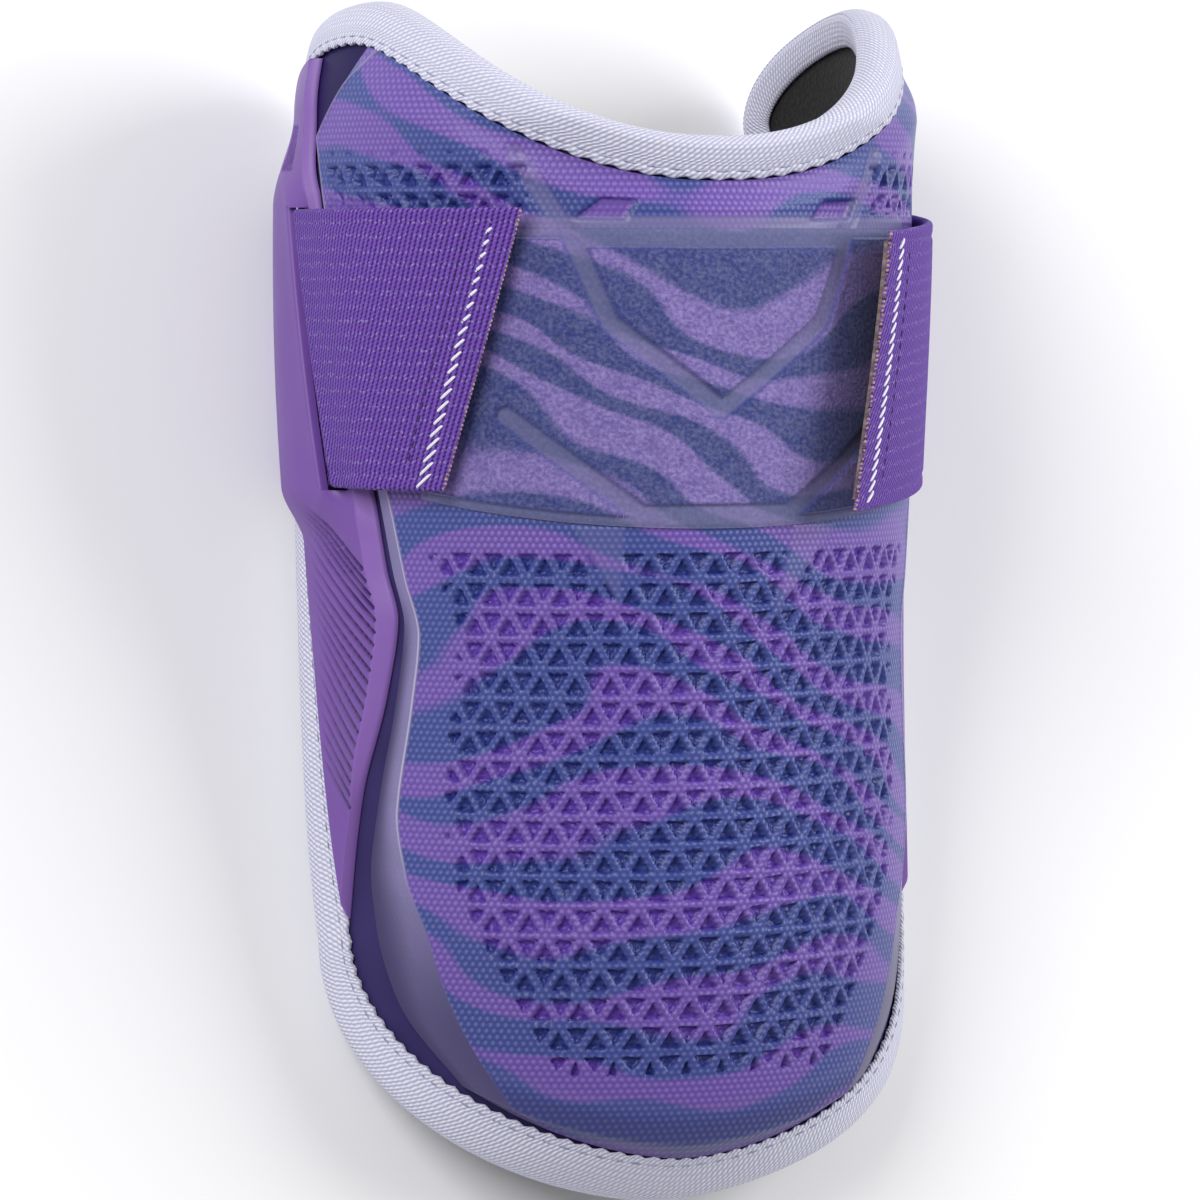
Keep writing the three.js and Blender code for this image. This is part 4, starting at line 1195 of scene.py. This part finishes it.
def tunnel_sink(angle, along):
    """How much deeper the strap and its bridge lie beside the slot than over the tape."""
    behind = np.abs(angle) - slot_angle(along) - SLOT["half"]
    return TUNNEL_SINK["depth"] * (1 - smooth(behind / TUNNEL_SINK["degrees"]))


def bridge_rise(angle, along):
    """How far the panel stands off behind its slot, so that the strap passes under it."""
    past = past_slot(along)
    ramp = np.where(along < STRAP["middle"], BRIDGE["low_ramp"], BRIDGE["high_ramp"])
    half_step = BRIDGE["step"] * SLOT["half"] + BRIDGE["spread"] * np.maximum(past, 0)
    behind = smooth(((np.abs(angle) - slot_angle(along)) / half_step + 1) / 2)
    return (BRIDGE["rise"] - tunnel_sink(angle, along)) * (1 - smooth(past / ramp)) * behind


def panel_rear(along):
    """Angle of a side panel's rear border, beside the tape."""
    height = (along - EAR["back_along"]) / (EAR["along"] - EAR_INSET - EAR["back_along"])
    turn = np.arccos(np.clip(height, 0, 1)) * 2 / np.pi
    beside = wing_edge(along, tape_leg(along) + GAP)
    return np.where(along <= EAR["back_along"], beside, ear_point(turn, EAR_INSET)[0])


def groove_share(angle, along, panel):
    """Depth share of the slanting grooves, which thin out toward the rear, and of the short upper ones."""
    half = panel.groove_width / MM / 2
    deepest = np.zeros(np.broadcast(angle, along).shape)
    for k in range(panel.grooves):
        end_along = GROOVE_INSET["along"][-1] - k * panel.groove_pitch / MM
        inset = table_curve(GROOVE_INSET, "width", end_along)
        end_angle = table_curve(PANEL_FRONT, "angle", end_along) + inset
        steep = mix(*GROOVE["steep"], smooth((k - GROOVE["steep_from"]) / GROOVE["steep_over"]))
        run = min(GROOVE["longest"], panel_rear(end_along + GROOVE["up"]) - GROOVE["rear"] - end_angle)
        x, y = angle - end_angle, along - end_along
        t = np.clip((x + y * steep) / (run * (1 + steep * steep)), 0, 1)
        away = np.hypot(x - t * run, y - t * steep * run)
        thin = half * (1 - GROOVE["thin"] * t)
        wall = smooth((away - GROOVE["floor"] * thin) / (GROOVE["wall"] * thin))
        deepest = np.maximum(deepest, (1 - wall) * (1 - t * t))
    deepest *= smooth((GROOVE["high"] - along) / GROOVE["fade"])
    for k in range(SHORT_GROOVES["count"]):
        place_at = SHORT_GROOVES["first"] + k * SHORT_GROOVES["pitch"]
        ends = ((place_at, SHORT_GROOVES["low"]), (place_at, SHORT_GROOVES["high"]))
        wall = smooth((distance_to_line(angle, along, ends) - SHORT_GROOVES["floor"] * half) / half)
        deepest = np.maximum(deepest, SHORT_GROOVES["depth"] * (1 - wall))
    return deepest


def panel_shares(part):
    """Shares across the front or the rear part of a side panel for the columns of its grid."""
    columns = PANEL_COLUMNS[part]
    return shares(columns["width"], columns["width"] / columns["count"], columns["fine"])[:, None]


def make_side_panel(side, panel, material):
    """One moulded side panel with its slot, the bridge behind it, a chamfered border and the grooves."""
    along = np.linspace(PANEL_TIP, PANEL_END, round((PANEL_END - PANEL_TIP) / PANEL_ROW))[None, :]
    front = table_curve(PANEL_FRONT, "angle", along)
    rear = panel_rear(along)
    width = rear - front
    away = smooth(past_slot(along) / PANEL_SPLIT["reach"])
    slot_front = mix(slot_angle(along) - SLOT["half"], front + PANEL_SPLIT["front"] * width, away)
    slot_rear = mix(slot_angle(along) + SLOT["half"], front + PANEL_SPLIT["rear"] * width, away)
    ahead = mix(front, slot_front, panel_shares("front"))
    within = mix(slot_front, slot_rear, np.linspace(0, 1, SLOT_COLUMNS + 1)[1:-1, None])
    behind = mix(slot_rear, rear, panel_shares("rear"))
    angle = np.concatenate((ahead, within, behind))
    along = np.broadcast_to(along, angle.shape)
    first, last = len(ahead) - 1, len(ahead) + len(within)
    from_front = (angle - front) * PATTERN_PER_DEGREE
    from_rear = (rear - angle) * PATTERN_PER_DEGREE
    chamfer = from_front / table_curve(PANEL_CHAMFER, "width", along)
    # A painted highlight lies on the chamfer.
    chamfer_highlight = 1 - smooth((chamfer - 1) / CHAMFER_FADE)
    top = mix(PANEL_LOW + PANEL_LIP, PANEL_TOP, np.clip(chamfer, 0, 1))
    top = top - rolled(np.minimum(from_front, from_rear), PANEL_BORDER_ROLL)
    in_slot = past_slot(along) < 0
    from_slot = np.minimum(np.abs(angle - slot_front), np.abs(angle - slot_rear))
    top = top - np.where(in_slot, rolled(from_slot, PANEL_BORDER_ROLL), 0)
    grooves = groove_share(angle, along, panel)
    rise = bridge_rise(angle, along)
    keep = np.ones((angle.shape[0] - 1, angle.shape[1] - 1), bool)
    keep[first:last, :] = ~in_slot[first:last, 1:]
    # Relief: the grooves, which also carry painted shade on their floors, and the painted highlight of the
    # chamfer.
    fields = {"surface": pattern_field(angle, along), "relief": field(grooves, chamfer_highlight)}
    outer = place(angle, along, top + rise - panel.groove_depth / MM * grooves)
    inner = place(angle, along, PANEL_LOW + rise)
    if side == "left":
        # Mirrored across the middle, with the columns reversed so that the sheet still faces outward.
        outer, inner, keep = outer[::-1] * (-1, 1, 1), inner[::-1] * (-1, 1, 1), keep[::-1]
        fields = {name: values[::-1] for name, values in fields.items()}
    made = sheet_object(f"moulded_panel_{side}", outer, inner, fields, keep)
    put_on(made, material, "side_panel", f"side_panel_{side}")


TAPE_STEP = 0.85
TAPE_SMOOTHING = 5
TAPE_RIM = {"points": 14, "depth": 1.2, "reach": 2.65}
# The inner leg: its width, the rounding of its tip and how far its border rises there.
TAPE_INNER = {"leg": 5.6, "roll": 0.4, "rise": 0.05}
TAPE_CAVITY = {"low": -0.65, "high": 5.4, "edge": -0.65}
# Top of the outer leg as a depth from its tip and an offset: a rounded selvedge, then the dent of the seam.
TAPE_SELVEDGE = (
    (0, 5.4), (0.12, 5.85), (-0.1, 6.2), (-0.5, 6.35), (-1.0, 6.34), (-1.3, 6.22), (-1.6, 6.36), (-2.3, 6.44)
)
TAPE_FLAT = (3.0, 6.47)
TWILL_SLANT = 0.35
# How far in from the tip the waves of the selvedge reach.
RIPPLE_REACH = 2
SEAM = {"top": 6.34, "sunk": 6.1, "share": 0.72, "points": 6, "thickness": 0.26}


def outline_loop():
    """The pad's outline at even steps: angles, distances along, distances round and the whole length."""
    borders = pad_borders()
    share = np.linspace(0, 1, OUTLINE_SAMPLES)
    back = share[::-1]
    parts = [borders["bottom"](share), borders["right"](share), borders["top"](back), borders["left"](back)]
    angle = np.concatenate([part[0][:-1] for part in parts])
    along = np.concatenate([part[1][:-1] for part in parts])
    angle, along = np.append(angle, angle[0]), np.append(along, along[0])
    lengths = line_lengths(angle, along)
    wanted = np.linspace(0, lengths[-1], round(lengths[-1] / TAPE_STEP), endpoint=False)
    # A running mean takes the corners off the line, so that the tape runs round them without a crease.
    window = np.hanning(2 * TAPE_SMOOTHING + 3)[1:-1]
    even = []
    for values in (angle, along):
        steps = np.interp(wanted, lengths, values)
        wrapped = np.concatenate((steps[-TAPE_SMOOTHING:], steps, steps[:TAPE_SMOOTHING]))
        even.append(np.convolve(wrapped, window / window.sum(), mode="valid"))
    return even[0], even[1], wanted, lengths[-1]


def inward_of(angle, along):
    """Unit direction into the pad at each point of its outline, as millimetres round and along."""
    run = (np.roll(angle, -1) - np.roll(angle, 1)) * per_degree(along)
    rise = np.roll(along, -1) - np.roll(along, 1)
    size = np.hypot(run, rise)
    return -rise / size, run / size


def tape_section():
    """The tape's section from the tip of its outer leg: depth in, offset, 1 where it moves with the tip."""
    turn = np.linspace(0, np.pi, TAPE_RIM["points"])
    middle, half = (TAPE_TOP + TAPE_LOW) / 2, (TAPE_TOP - TAPE_LOW) / 2
    rows = [(depth, offset, 1) for depth, offset in TAPE_SELVEDGE]
    rows.append((*TAPE_FLAT, 0))
    for t in turn:
        rows.append((TAPE_RIM["depth"] - TAPE_RIM["reach"] * math.sin(t), middle + half * math.cos(t), 0))
    leg, roll, cavity = TAPE_INNER["leg"], TAPE_INNER["roll"], TAPE_CAVITY
    rows += [(TAPE_FLAT[0], TAPE_LOW, 0), (leg - roll, TAPE_LOW + TAPE_INNER["rise"], 0)]
    rows.append((leg, TAPE_LOW + roll, 0))
    rows += [(leg, cavity["low"], 0), (cavity["edge"], cavity["low"], 0), (cavity["edge"], cavity["high"], 0)]
    return np.array(rows)


def tape_point(line, depth, offset):
    """Points at a depth in from the outline and an offset, for every step of the outline."""
    angle, along, inward = line
    return place(angle + inward[0] * depth / per_degree(along), along + inward[1] * depth, offset)


def make_binding(colours, tape):
    """The twill tape folded round the edge, with its wavy selvedge and seam."""
    angle, along, travelled, total = outline_loop()
    line = (angle, along, inward_of(angle, along))
    leg = tape_leg(along)
    waves = round(total / (tape.scallop_pitch / MM))
    ripple = tape.scallop / MM * np.sin(2 * np.pi * waves * travelled / total)
    section = tape_section()
    rows = []
    for depth, offset, with_tip in section:
        near_tip = with_tip * np.clip((depth + RIPPLE_REACH) / RIPPLE_REACH, 0, 1)
        rows.append(tape_point(line, depth + with_tip * leg + near_tip * ripple, offset))
    points = np.stack(rows, axis=1)
    count, sides = points.shape[:2]
    i, k = np.meshgrid(np.arange(count), np.arange(sides), indexing="ij")
    after, beside = (i + 1) % count, (k + 1) % sides
    corners = (i * sides + k, i * sides + beside, after * sides + beside, after * sides + k)
    faces = np.stack(corners, axis=-1).reshape(-1, 4).tolist()
    made = mesh_object("binding_tape", points.reshape(-1, 3), faces)
    # The pattern is stored on the faces' corners, with a whole number of ribs, so that it closes.
    depths = section[:, 0] + section[:, 2] * leg.mean()
    around = np.concatenate(([0], np.cumsum(np.hypot(np.diff(depths), np.diff(section[:, 1])))))
    around = np.append(around, around[-1] + 1)
    ribs = round(total / (tape.rib_pitch / MM)) * tape.rib_pitch / MM
    across = around[np.stack((k, k + 1, k + 1, k), axis=-1)]
    round_the_edge = np.stack((i, i, i + 1, i + 1), axis=-1) * ribs / count
    store(made, "surface", field(round_the_edge + TWILL_SLANT * across, across), "CORNER")
    put_on(made, twill_tape(colours, tape), "binding_tape", "edge_binding")
    thread = spun_thread("grey_polyester_thread", colours.seam, colours.tape_gap)
    put_on(tape_seam(line, travelled, leg, tape), thread, "binding_tape")


def tape_seam(line, travelled, leg, tape):
    """The stitches of the tape's seam, each a short thread that dips into the tape at both ends."""
    pitch = tape.scallop_pitch / MM
    depth = leg - tape.seam_inset / MM
    upper = tape_point(line, depth, SEAM["top"])
    lower = tape_point(line, depth, SEAM["sunk"])
    dip = np.linspace(-1, 1, SEAM["points"])[:, None] ** 4
    paths = []
    for start in np.arange(0, travelled[-1] - pitch, pitch):
        at = start + np.linspace(0, SEAM["share"], SEAM["points"]) * pitch
        high = np.stack([np.interp(at, travelled, upper[:, k]) for k in range(3)], axis=1)
        low = np.stack([np.interp(at, travelled, lower[:, k]) for k in range(3)], axis=1)
        paths.append(mix(high, low, dip))
    return tube_mesh("tape_seam", paths, SEAM["thickness"] * MM / 2)


STRAP_POINTS = {"front": 90, "slot": 16, "tunnel": 16, "turn": 40, "back": 50}
STRAP_COUNT = 330
STRAP_ROW = 0.9
STRAP_FINE = (0.1, 0.3, 0.6, 0.9)
SELVEDGE = {"inset": 2.4, "width": 0.4, "depth": 0.4, "roll": 0.95}
# The webbing is pressed thin from below at its ends.
THIN_END = {"share": 1.2, "reach": 2.6}


def strap_half(end, along):
    """One side of the strap's middle line, from its front end to the middle of the back."""
    end_angle = end["angle"] + end["slope"] * (along - STRAP["middle"])
    slot_front, slot_rear = slot_angle(along) - SLOT["half"], slot_angle(along) + SLOT["half"]
    turn_angle = wing_edge(along, 0) + TURN_PAST_EDGE
    t = {part: np.linspace(0, 1, count) for part, count in STRAP_POINTS.items()}
    front_angle = mix(end_angle, slot_front, t["front"])
    raised = 1 - t["front"]
    lift = end["lift"] * (smooth(raised / LEVEL_AT) if end["levels"] else raised ** 2)
    through = mix(slot_front, slot_rear, t["slot"][1:])
    under = mix(slot_rear, turn_angle, t["tunnel"][1:])
    angle = np.concatenate((front_angle, through, under))
    passing = mix(FRONT_OFFSET, TUNNEL_OFFSET - TUNNEL_SINK["depth"], smooth(t["slot"][1:]))
    offset = np.concatenate((FRONT_OFFSET + lift, passing, TUNNEL_OFFSET - tunnel_sink(under, along)))
    y = np.full(angle.shape, float(along))
    y[:STRAP_POINTS["front"]] += end["droop"] * (1 - t["front"])
    across, front = section_point(angle, y, offset)
    # Past the edge the strap bends round and lies flat on the floor.
    floor = (REST_DROP - along * math.sin(REST_TILT)) / math.cos(REST_TILT) + STRAP["thickness"] / 2
    fall = (front[-1] - floor) / math.sin(math.radians(turn_angle))
    corner = across[-1] + fall * math.cos(math.radians(turn_angle))
    bend = t["turn"][1:]
    bend_across = (1 - bend) ** 2 * across[-1] + 2 * bend * (1 - bend) * corner + bend ** 2 * (corner - fall)
    bend_front = (1 - bend) ** 2 * front[-1] + (1 - (1 - bend) ** 2) * floor
    back_across = mix(bend_across[-1], 0, t["back"][1:])
    across = np.concatenate((across, bend_across, back_across))
    front = np.concatenate((front, bend_front, np.full(back_across.shape, floor)))
    y = np.concatenate((y, np.full(bend.size + back_across.size, float(along))))
    return np.stack((across, front, y), axis=1)


def strap_line(along):
    """The strap's whole middle line at even steps, from the left end round the back to the right end."""
    left = strap_half(STRAP_ENDS["left"], along) * (-1, 1, 1)
    right = strap_half(STRAP_ENDS["right"], along)
    line = np.concatenate((left[:-1], right[::-1]))
    lengths = np.concatenate(([0], np.cumsum(np.linalg.norm(np.diff(line, axis=0), axis=1))))
    wanted = np.linspace(0, lengths[-1], STRAP_COUNT)
    return np.stack([np.interp(wanted, lengths, line[:, k]) for k in range(3)], axis=1), wanted


def strap_grid(width, spacing):
    """Middle points, outward directions, and distances along the webbing and across it."""
    across = (shares(width, spacing, STRAP_FINE) - 0.5) * width
    lines, travelled = zip(*[strap_line(STRAP["middle"] + w) for w in across])
    points = np.stack(lines)
    way = np.gradient(points[..., :2], axis=1)
    way /= np.linalg.norm(way, axis=-1, keepdims=True)
    outward = np.stack((way[..., 1], -way[..., 0]), axis=-1)
    return points, outward, np.stack(travelled), np.broadcast_to(across[:, None], points.shape[:2])


def strap_face(points, outward, offset):
    """Points of the webbing at an offset from its middle, in the resting place."""
    moved = points[..., :2] + outward * np.asarray(offset)[..., None]
    return at_rest(moved[..., 0], points[..., 2], moved[..., 1])


def make_strap(colours, strap):
    """The elastic webbing with its selvedges, bound ends and stitches."""
    grid = strap_grid(STRAP["width"], STRAP_ROW)
    points, outward, travelled, across = grid
    from_edge = STRAP["width"] / 2 - np.abs(across)
    half = STRAP["thickness"] / 2
    thick = half - rolled(from_edge, half * SELVEDGE["roll"])
    thick = thick - SELVEDGE["depth"] * np.exp(-(((from_edge - SELVEDGE["inset"]) / SELVEDGE["width"]) ** 2))
    from_end = np.minimum(travelled, travelled[:, -1:] - travelled)
    pressed = THIN_END["share"] * (1 - smooth(from_end / THIN_END["reach"]))
    outer, inner = strap_face(points, outward, thick), strap_face(points, outward, thick * (pressed - 1))
    made = sheet_object("webbing_strap", outer, inner, {"surface": field(travelled, across)})
    put_on(made, ribbed_webbing(colours, strap), "strap_webbing", "strap")
    white, tonal, knots = strap_stitches(grid, strap)
    threads = (
        (tube_mesh("white_stitches", white, strap.thread / 2), "white", "stitch", "tape"),
        (tube_mesh("tonal_stitches", tonal, strap.tonal_thread / 2), "violet", "strap_gap", "shell"),
        (bead_mesh("bound_ends", knots, strap.knot / 2), "beige", "bead", "bead_gap"),
    )
    for piece, tone, light, dark in threads:
        thread = spun_thread(f"{tone}_polyester_thread", getattr(colours, light), getattr(colours, dark))
        put_on(piece, thread, "strap_webbing")


STITCH_ROWS = {
    "left": {"count": 21, "low": -23.2, "high": 21, "short": 1.5, "long": 3.9, "slant": 48},
    "right": {"count": 25, "low": -22.5, "high": 22.5, "short": 2.8, "long": 3.2, "slant": 47},
}
TONAL_ROW = {"count": 18, "low": -19, "high": 20, "long": 1.5, "slant": 90, "extra": 4.2}
STITCH = {"points": 7, "proud": 0.06, "sunk": 0.35}
KNOT_ROW = {"half": 24.4, "inset": 0.1}


def strap_stitches(grid, strap):
    """Paths of the white and the tonal stitches, and the places of the knots along the bound ends."""
    points, outward, travelled, across = grid
    half = STRAP["thickness"] / 2
    top = strap_face(points, outward, half + STITCH["proud"])
    sunk = strap_face(points, outward, half - STITCH["sunk"])
    step = travelled[:, -1].mean() / (STRAP_COUNT - 1)

    def on_strap(face, side, from_end, w):
        row = np.interp(w, across[:, 0], np.arange(len(across)))
        column = from_end / step if side == "left" else STRAP_COUNT - 1 - from_end / step
        i = np.clip(np.floor(row).astype(int), 0, len(across) - 2)
        k = np.clip(np.floor(column).astype(int), 0, STRAP_COUNT - 2)
        a, b = (row - i)[:, None], (column - k)[:, None]
        return mix(mix(face[i, k], face[i + 1, k], a), mix(face[i, k + 1], face[i + 1, k + 1], a), b)

    def stitch(side, from_end, w, size, slant):
        t = np.linspace(-0.5, 0.5, STITCH["points"])
        toward_slot = size * math.cos(math.radians(slant)) * (t if side == "right" else -t)
        upward = size * math.sin(math.radians(slant)) * t
        high, low = (on_strap(face, side, from_end + toward_slot, w + upward) for face in (top, sunk))
        return mix(high, low, (np.abs(t) * 2)[:, None] ** 5)

    white, tonal, knots = [], [], []
    inset, pitch = strap.stitch_inset / MM, strap.bead_pitch / MM
    for side, row in STITCH_ROWS.items():
        for share in np.linspace(0, 1, row["count"]):
            w = mix(row["low"], row["high"], share)
            white.append(stitch(side, inset, w, mix(row["long"], row["short"], share), row["slant"]))
        for w in np.linspace(TONAL_ROW["low"], TONAL_ROW["high"], TONAL_ROW["count"]):
            from_end = inset + TONAL_ROW["extra"]
            tonal.append(stitch(side, from_end, w, TONAL_ROW["long"], TONAL_ROW["slant"]))
        row_places = np.arange(-KNOT_ROW["half"], KNOT_ROW["half"], pitch)
        knots.extend(on_strap(sunk, side, np.full(row_places.shape, KNOT_ROW["inset"]), row_places))
    return white, tonal, np.array(knots)


def make_hook_tabs(colours):
    """The hook tape sewn under each strap end."""
    material = brushed_cloth("nylon_hook_tape", colours.hook, colours.hook_fleck, HOOK["fleck"])
    points, outward, travelled, across = strap_grid(HOOK["width"], HOOK["row"])
    step = travelled[:, -1].mean() / (STRAP_COUNT - 1)
    first, last = round(HOOK["set_back"] / step), round((HOOK["set_back"] + HOOK["length"]) / step)
    top = -STRAP["thickness"] / 2 - HOOK["gap"]
    parts = {"left": slice(first, last), "right": slice(STRAP_COUNT - last, STRAP_COUNT - first)}
    for side, part in parts.items():
        outer = strap_face(points[:, part], outward[:, part], top)
        inner = strap_face(points[:, part], outward[:, part], top - HOOK["thickness"])
        fields = {"surface": field(travelled[:, part], across[:, part])}
        made = sheet_object(f"hook_tape_{side}", outer, inner, fields)
        put_on(made, material, "hook_tape", f"hook_tab_{side}")


CAMERA = {"yaw": 22, "rise": 3, "distance": 1200, "frame": 222, "along": 104.6, "sensor": 36}
LIGHT_TARGET = (0.0, 0.0, 0.04)
LIGHTS = {
    "left": {"place": (-0.9, 0.45, 0.95), "size": 0.7, "watts": 12.5},
    "right": {"place": (0.95, 0.2, 0.8), "size": 0.7, "watts": 11},
}
WORLD_LIGHT = 0.36
FLOOR_HALF = 3.0
# Cloudiness of the paper for each metre, and the depth of its bump in millimetres.
PAPER_LOOK = {"grain_scale": 2.5, "depth": 0.02}


def camera_axes():
    """Right, up and backward directions of the camera, in the resting place."""
    yaw, rise = math.radians(CAMERA["yaw"]), math.radians(CAMERA["rise"])
    right = (math.cos(yaw), 0, math.sin(yaw))
    up = (math.sin(yaw) * math.sin(rise), math.cos(rise), -math.cos(yaw) * math.sin(rise))
    back = (-math.sin(yaw) * math.cos(rise), math.sin(rise), math.cos(yaw) * math.cos(rise))
    tilt = Matrix.Rotation(REST_TILT, 3, "X")
    return [tilt @ Vector(axis) for axis in (right, up, back)]


def make_floor(colours):
    """A large pale paper floor under the guard."""
    corners = np.array([(-1, -1, 0), (1, -1, 0), (1, 1, 0), (-1, 1, 0)]) * FLOOR_HALF
    floor = mesh_object("floor", corners, [[0, 1, 2, 3]])
    made, tree, shader = new_material("matte_paper", Roughness=0.9, IOR=1.45)
    grain = add(tree, "noise", add(tree, "place", output="Object"), PAPER_LOOK["grain_scale"], PLAIN)
    tone = add(tree, "blend", grain, colours.floor_shade, colours.floor)
    finish_with(tree, shader, tone, grain, PAPER_LOOK["depth"])
    floor.data.materials.append(made)


def make_camera():
    """A camera at the photograph's angle."""
    right, up, back = camera_axes()
    target = Vector(at_rest(0.0, float(CAMERA["along"]), 0.0).tolist())
    data = bpy.data.cameras.new("camera")
    data.sensor_width = CAMERA["sensor"]
    data.lens = CAMERA["sensor"] * CAMERA["distance"] / CAMERA["frame"]
    camera = bpy.data.objects.new("camera", data)
    rotation = Matrix((right, up, back)).transposed()
    camera.matrix_world = Matrix.Translation(target + back * CAMERA["distance"] * MM) @ rotation.to_4x4()
    bpy.context.scene.collection.objects.link(camera)
    bpy.context.scene.camera = camera


def make_stage(colours):
    """A pale floor, soft studio light and the camera."""
    scene = bpy.context.scene
    make_floor(colours)
    make_camera()
    for name, light in LIGHTS.items():
        data = bpy.data.lights.new(name, "AREA")
        data.size = light["size"]
        data.energy = light["watts"]
        made = bpy.data.objects.new(name, data)
        made.location = light["place"]
        toward = Vector(LIGHT_TARGET) - Vector(light["place"])
        made.rotation_euler = toward.to_track_quat("-Z", "Y").to_euler()
        scene.collection.objects.link(made)
    world = bpy.data.worlds.new("studio")
    world.use_nodes = True
    background = world.node_tree.nodes["Background"]
    background.inputs["Color"].default_value = (1, 1, 1, 1)
    background.inputs["Strength"].default_value = WORLD_LIGHT
    scene.world = world
    scene.view_settings.view_transform = "Standard"


class GUARD_OT_lining(bpy.types.Operator):
    """Makes the foam pad with its brushed lining"""

    bl_idname = "guard.lining"
    bl_label = "Lining"

    def execute(self, context):
        make_lining(context.scene.guard_colours)
        return {"FINISHED"}


class GUARD_OT_shell(bpy.types.Operator):
    """Makes the dark moulded sheet over the pad"""

    bl_idname = "guard.shell"
    bl_label = "Shell"

    def execute(self, context):
        make_shell(context.scene.guard_colours)
        return {"FINISHED"}


class GUARD_OT_plate(bpy.types.Operator):
    """Makes the printed front plate with its pressed lattice"""

    bl_idname = "guard.plate"
    bl_label = "Front plate"

    def execute(self, context):
        make_plate(context.scene.guard_colours, context.scene.guard_plate)
        return {"FINISHED"}


class GUARD_OT_loop_field(bpy.types.Operator):
    """Makes the brushed loop field with its pressed lines"""

    bl_idname = "guard.loop_field"
    bl_label = "Loop field"

    def execute(self, context):
        scene = context.scene
        make_loop_field(scene.guard_colours, scene.guard_plate, scene.guard_loop)
        return {"FINISHED"}


class GUARD_OT_side_panels(bpy.types.Operator):
    """Makes the two moulded side panels with their slots and grooves"""

    bl_idname = "guard.side_panels"
    bl_label = "Side panels"

    def execute(self, context):
        colours = context.scene.guard_colours
        tones = (colours.panel, colours.panel_light, colours.panel_groove_shade, colours.panel_edge_highlight)
        material = satin_plastic("satin_purple_tpu", *tones, PANEL_GLOSS)
        for side in ("left", "right"):
            make_side_panel(side, context.scene.guard_panel, material)
        return {"FINISHED"}


class GUARD_OT_binding(bpy.types.Operator):
    """Makes the tape folded round the edge, with its seam"""

    bl_idname = "guard.binding"
    bl_label = "Binding"

    def execute(self, context):
        make_binding(context.scene.guard_colours, context.scene.guard_tape)
        return {"FINISHED"}


class GUARD_OT_strap(bpy.types.Operator):
    """Makes the elastic strap with its stitches and bound ends"""

    bl_idname = "guard.strap"
    bl_label = "Strap"

    def execute(self, context):
        make_strap(context.scene.guard_colours, context.scene.guard_strap)
        return {"FINISHED"}


class GUARD_OT_hook_tabs(bpy.types.Operator):
    """Makes the hook tape under both strap ends"""

    bl_idname = "guard.hook_tabs"
    bl_label = "Hook tabs"

    def execute(self, context):
        make_hook_tabs(context.scene.guard_colours)
        return {"FINISHED"}


class GUARD_OT_stage(bpy.types.Operator):
    """Makes the floor, the lights and the camera"""

    bl_idname = "guard.stage"
    bl_label = "Stage"

    def execute(self, context):
        make_stage(context.scene.guard_colours)
        return {"FINISHED"}


OPERATORS = (
    GUARD_OT_lining,
    GUARD_OT_shell,
    GUARD_OT_plate,
    GUARD_OT_loop_field,
    GUARD_OT_side_panels,
    GUARD_OT_binding,
    GUARD_OT_strap,
    GUARD_OT_hook_tabs,
    GUARD_OT_stage,
)
SETTINGS = {
    "guard_plate": GuardPlateSettings,
    "guard_panel": GuardPanelSettings,
    "guard_loop": GuardLoopSettings,
    "guard_tape": GuardTapeSettings,
    "guard_strap": GuardStrapSettings,
    "guard_colours": GuardColours,
}


class GUARD_PT_sidebar(bpy.types.Panel):
    """Lists the operators of the guard"""

    bl_idname = "GUARD_PT_sidebar"
    bl_label = "Elbow guard"
    bl_space_type = "VIEW_3D"
    bl_region_type = "UI"
    bl_category = "Guard"

    def draw(self, context):
        for operator in OPERATORS:
            self.layout.operator(operator.bl_idname)


def register():
    """Registers the settings, the operators and the sidebar."""
    for name, group in SETTINGS.items():
        bpy.utils.register_class(group)
        setattr(bpy.types.Scene, name, PointerProperty(type=group))
    for made in (*OPERATORS, GUARD_PT_sidebar):
        bpy.utils.register_class(made)


def unregister():
    """Takes the sidebar, the operators and the settings away again."""
    for made in (GUARD_PT_sidebar, *reversed(OPERATORS)):
        bpy.utils.unregister_class(made)
    for name, group in reversed(SETTINGS.items()):
        delattr(bpy.types.Scene, name)
        bpy.utils.unregister_class(group)


def main():
    """Makes every piece and the stage."""
    register()
    bpy.ops.guard.lining()
    bpy.ops.guard.shell()
    bpy.ops.guard.plate()
    bpy.ops.guard.loop_field()
    bpy.ops.guard.side_panels()
    bpy.ops.guard.binding()
    bpy.ops.guard.strap()
    bpy.ops.guard.hook_tabs()
    bpy.ops.guard.stage()


if __name__ == "__main__":
    main()
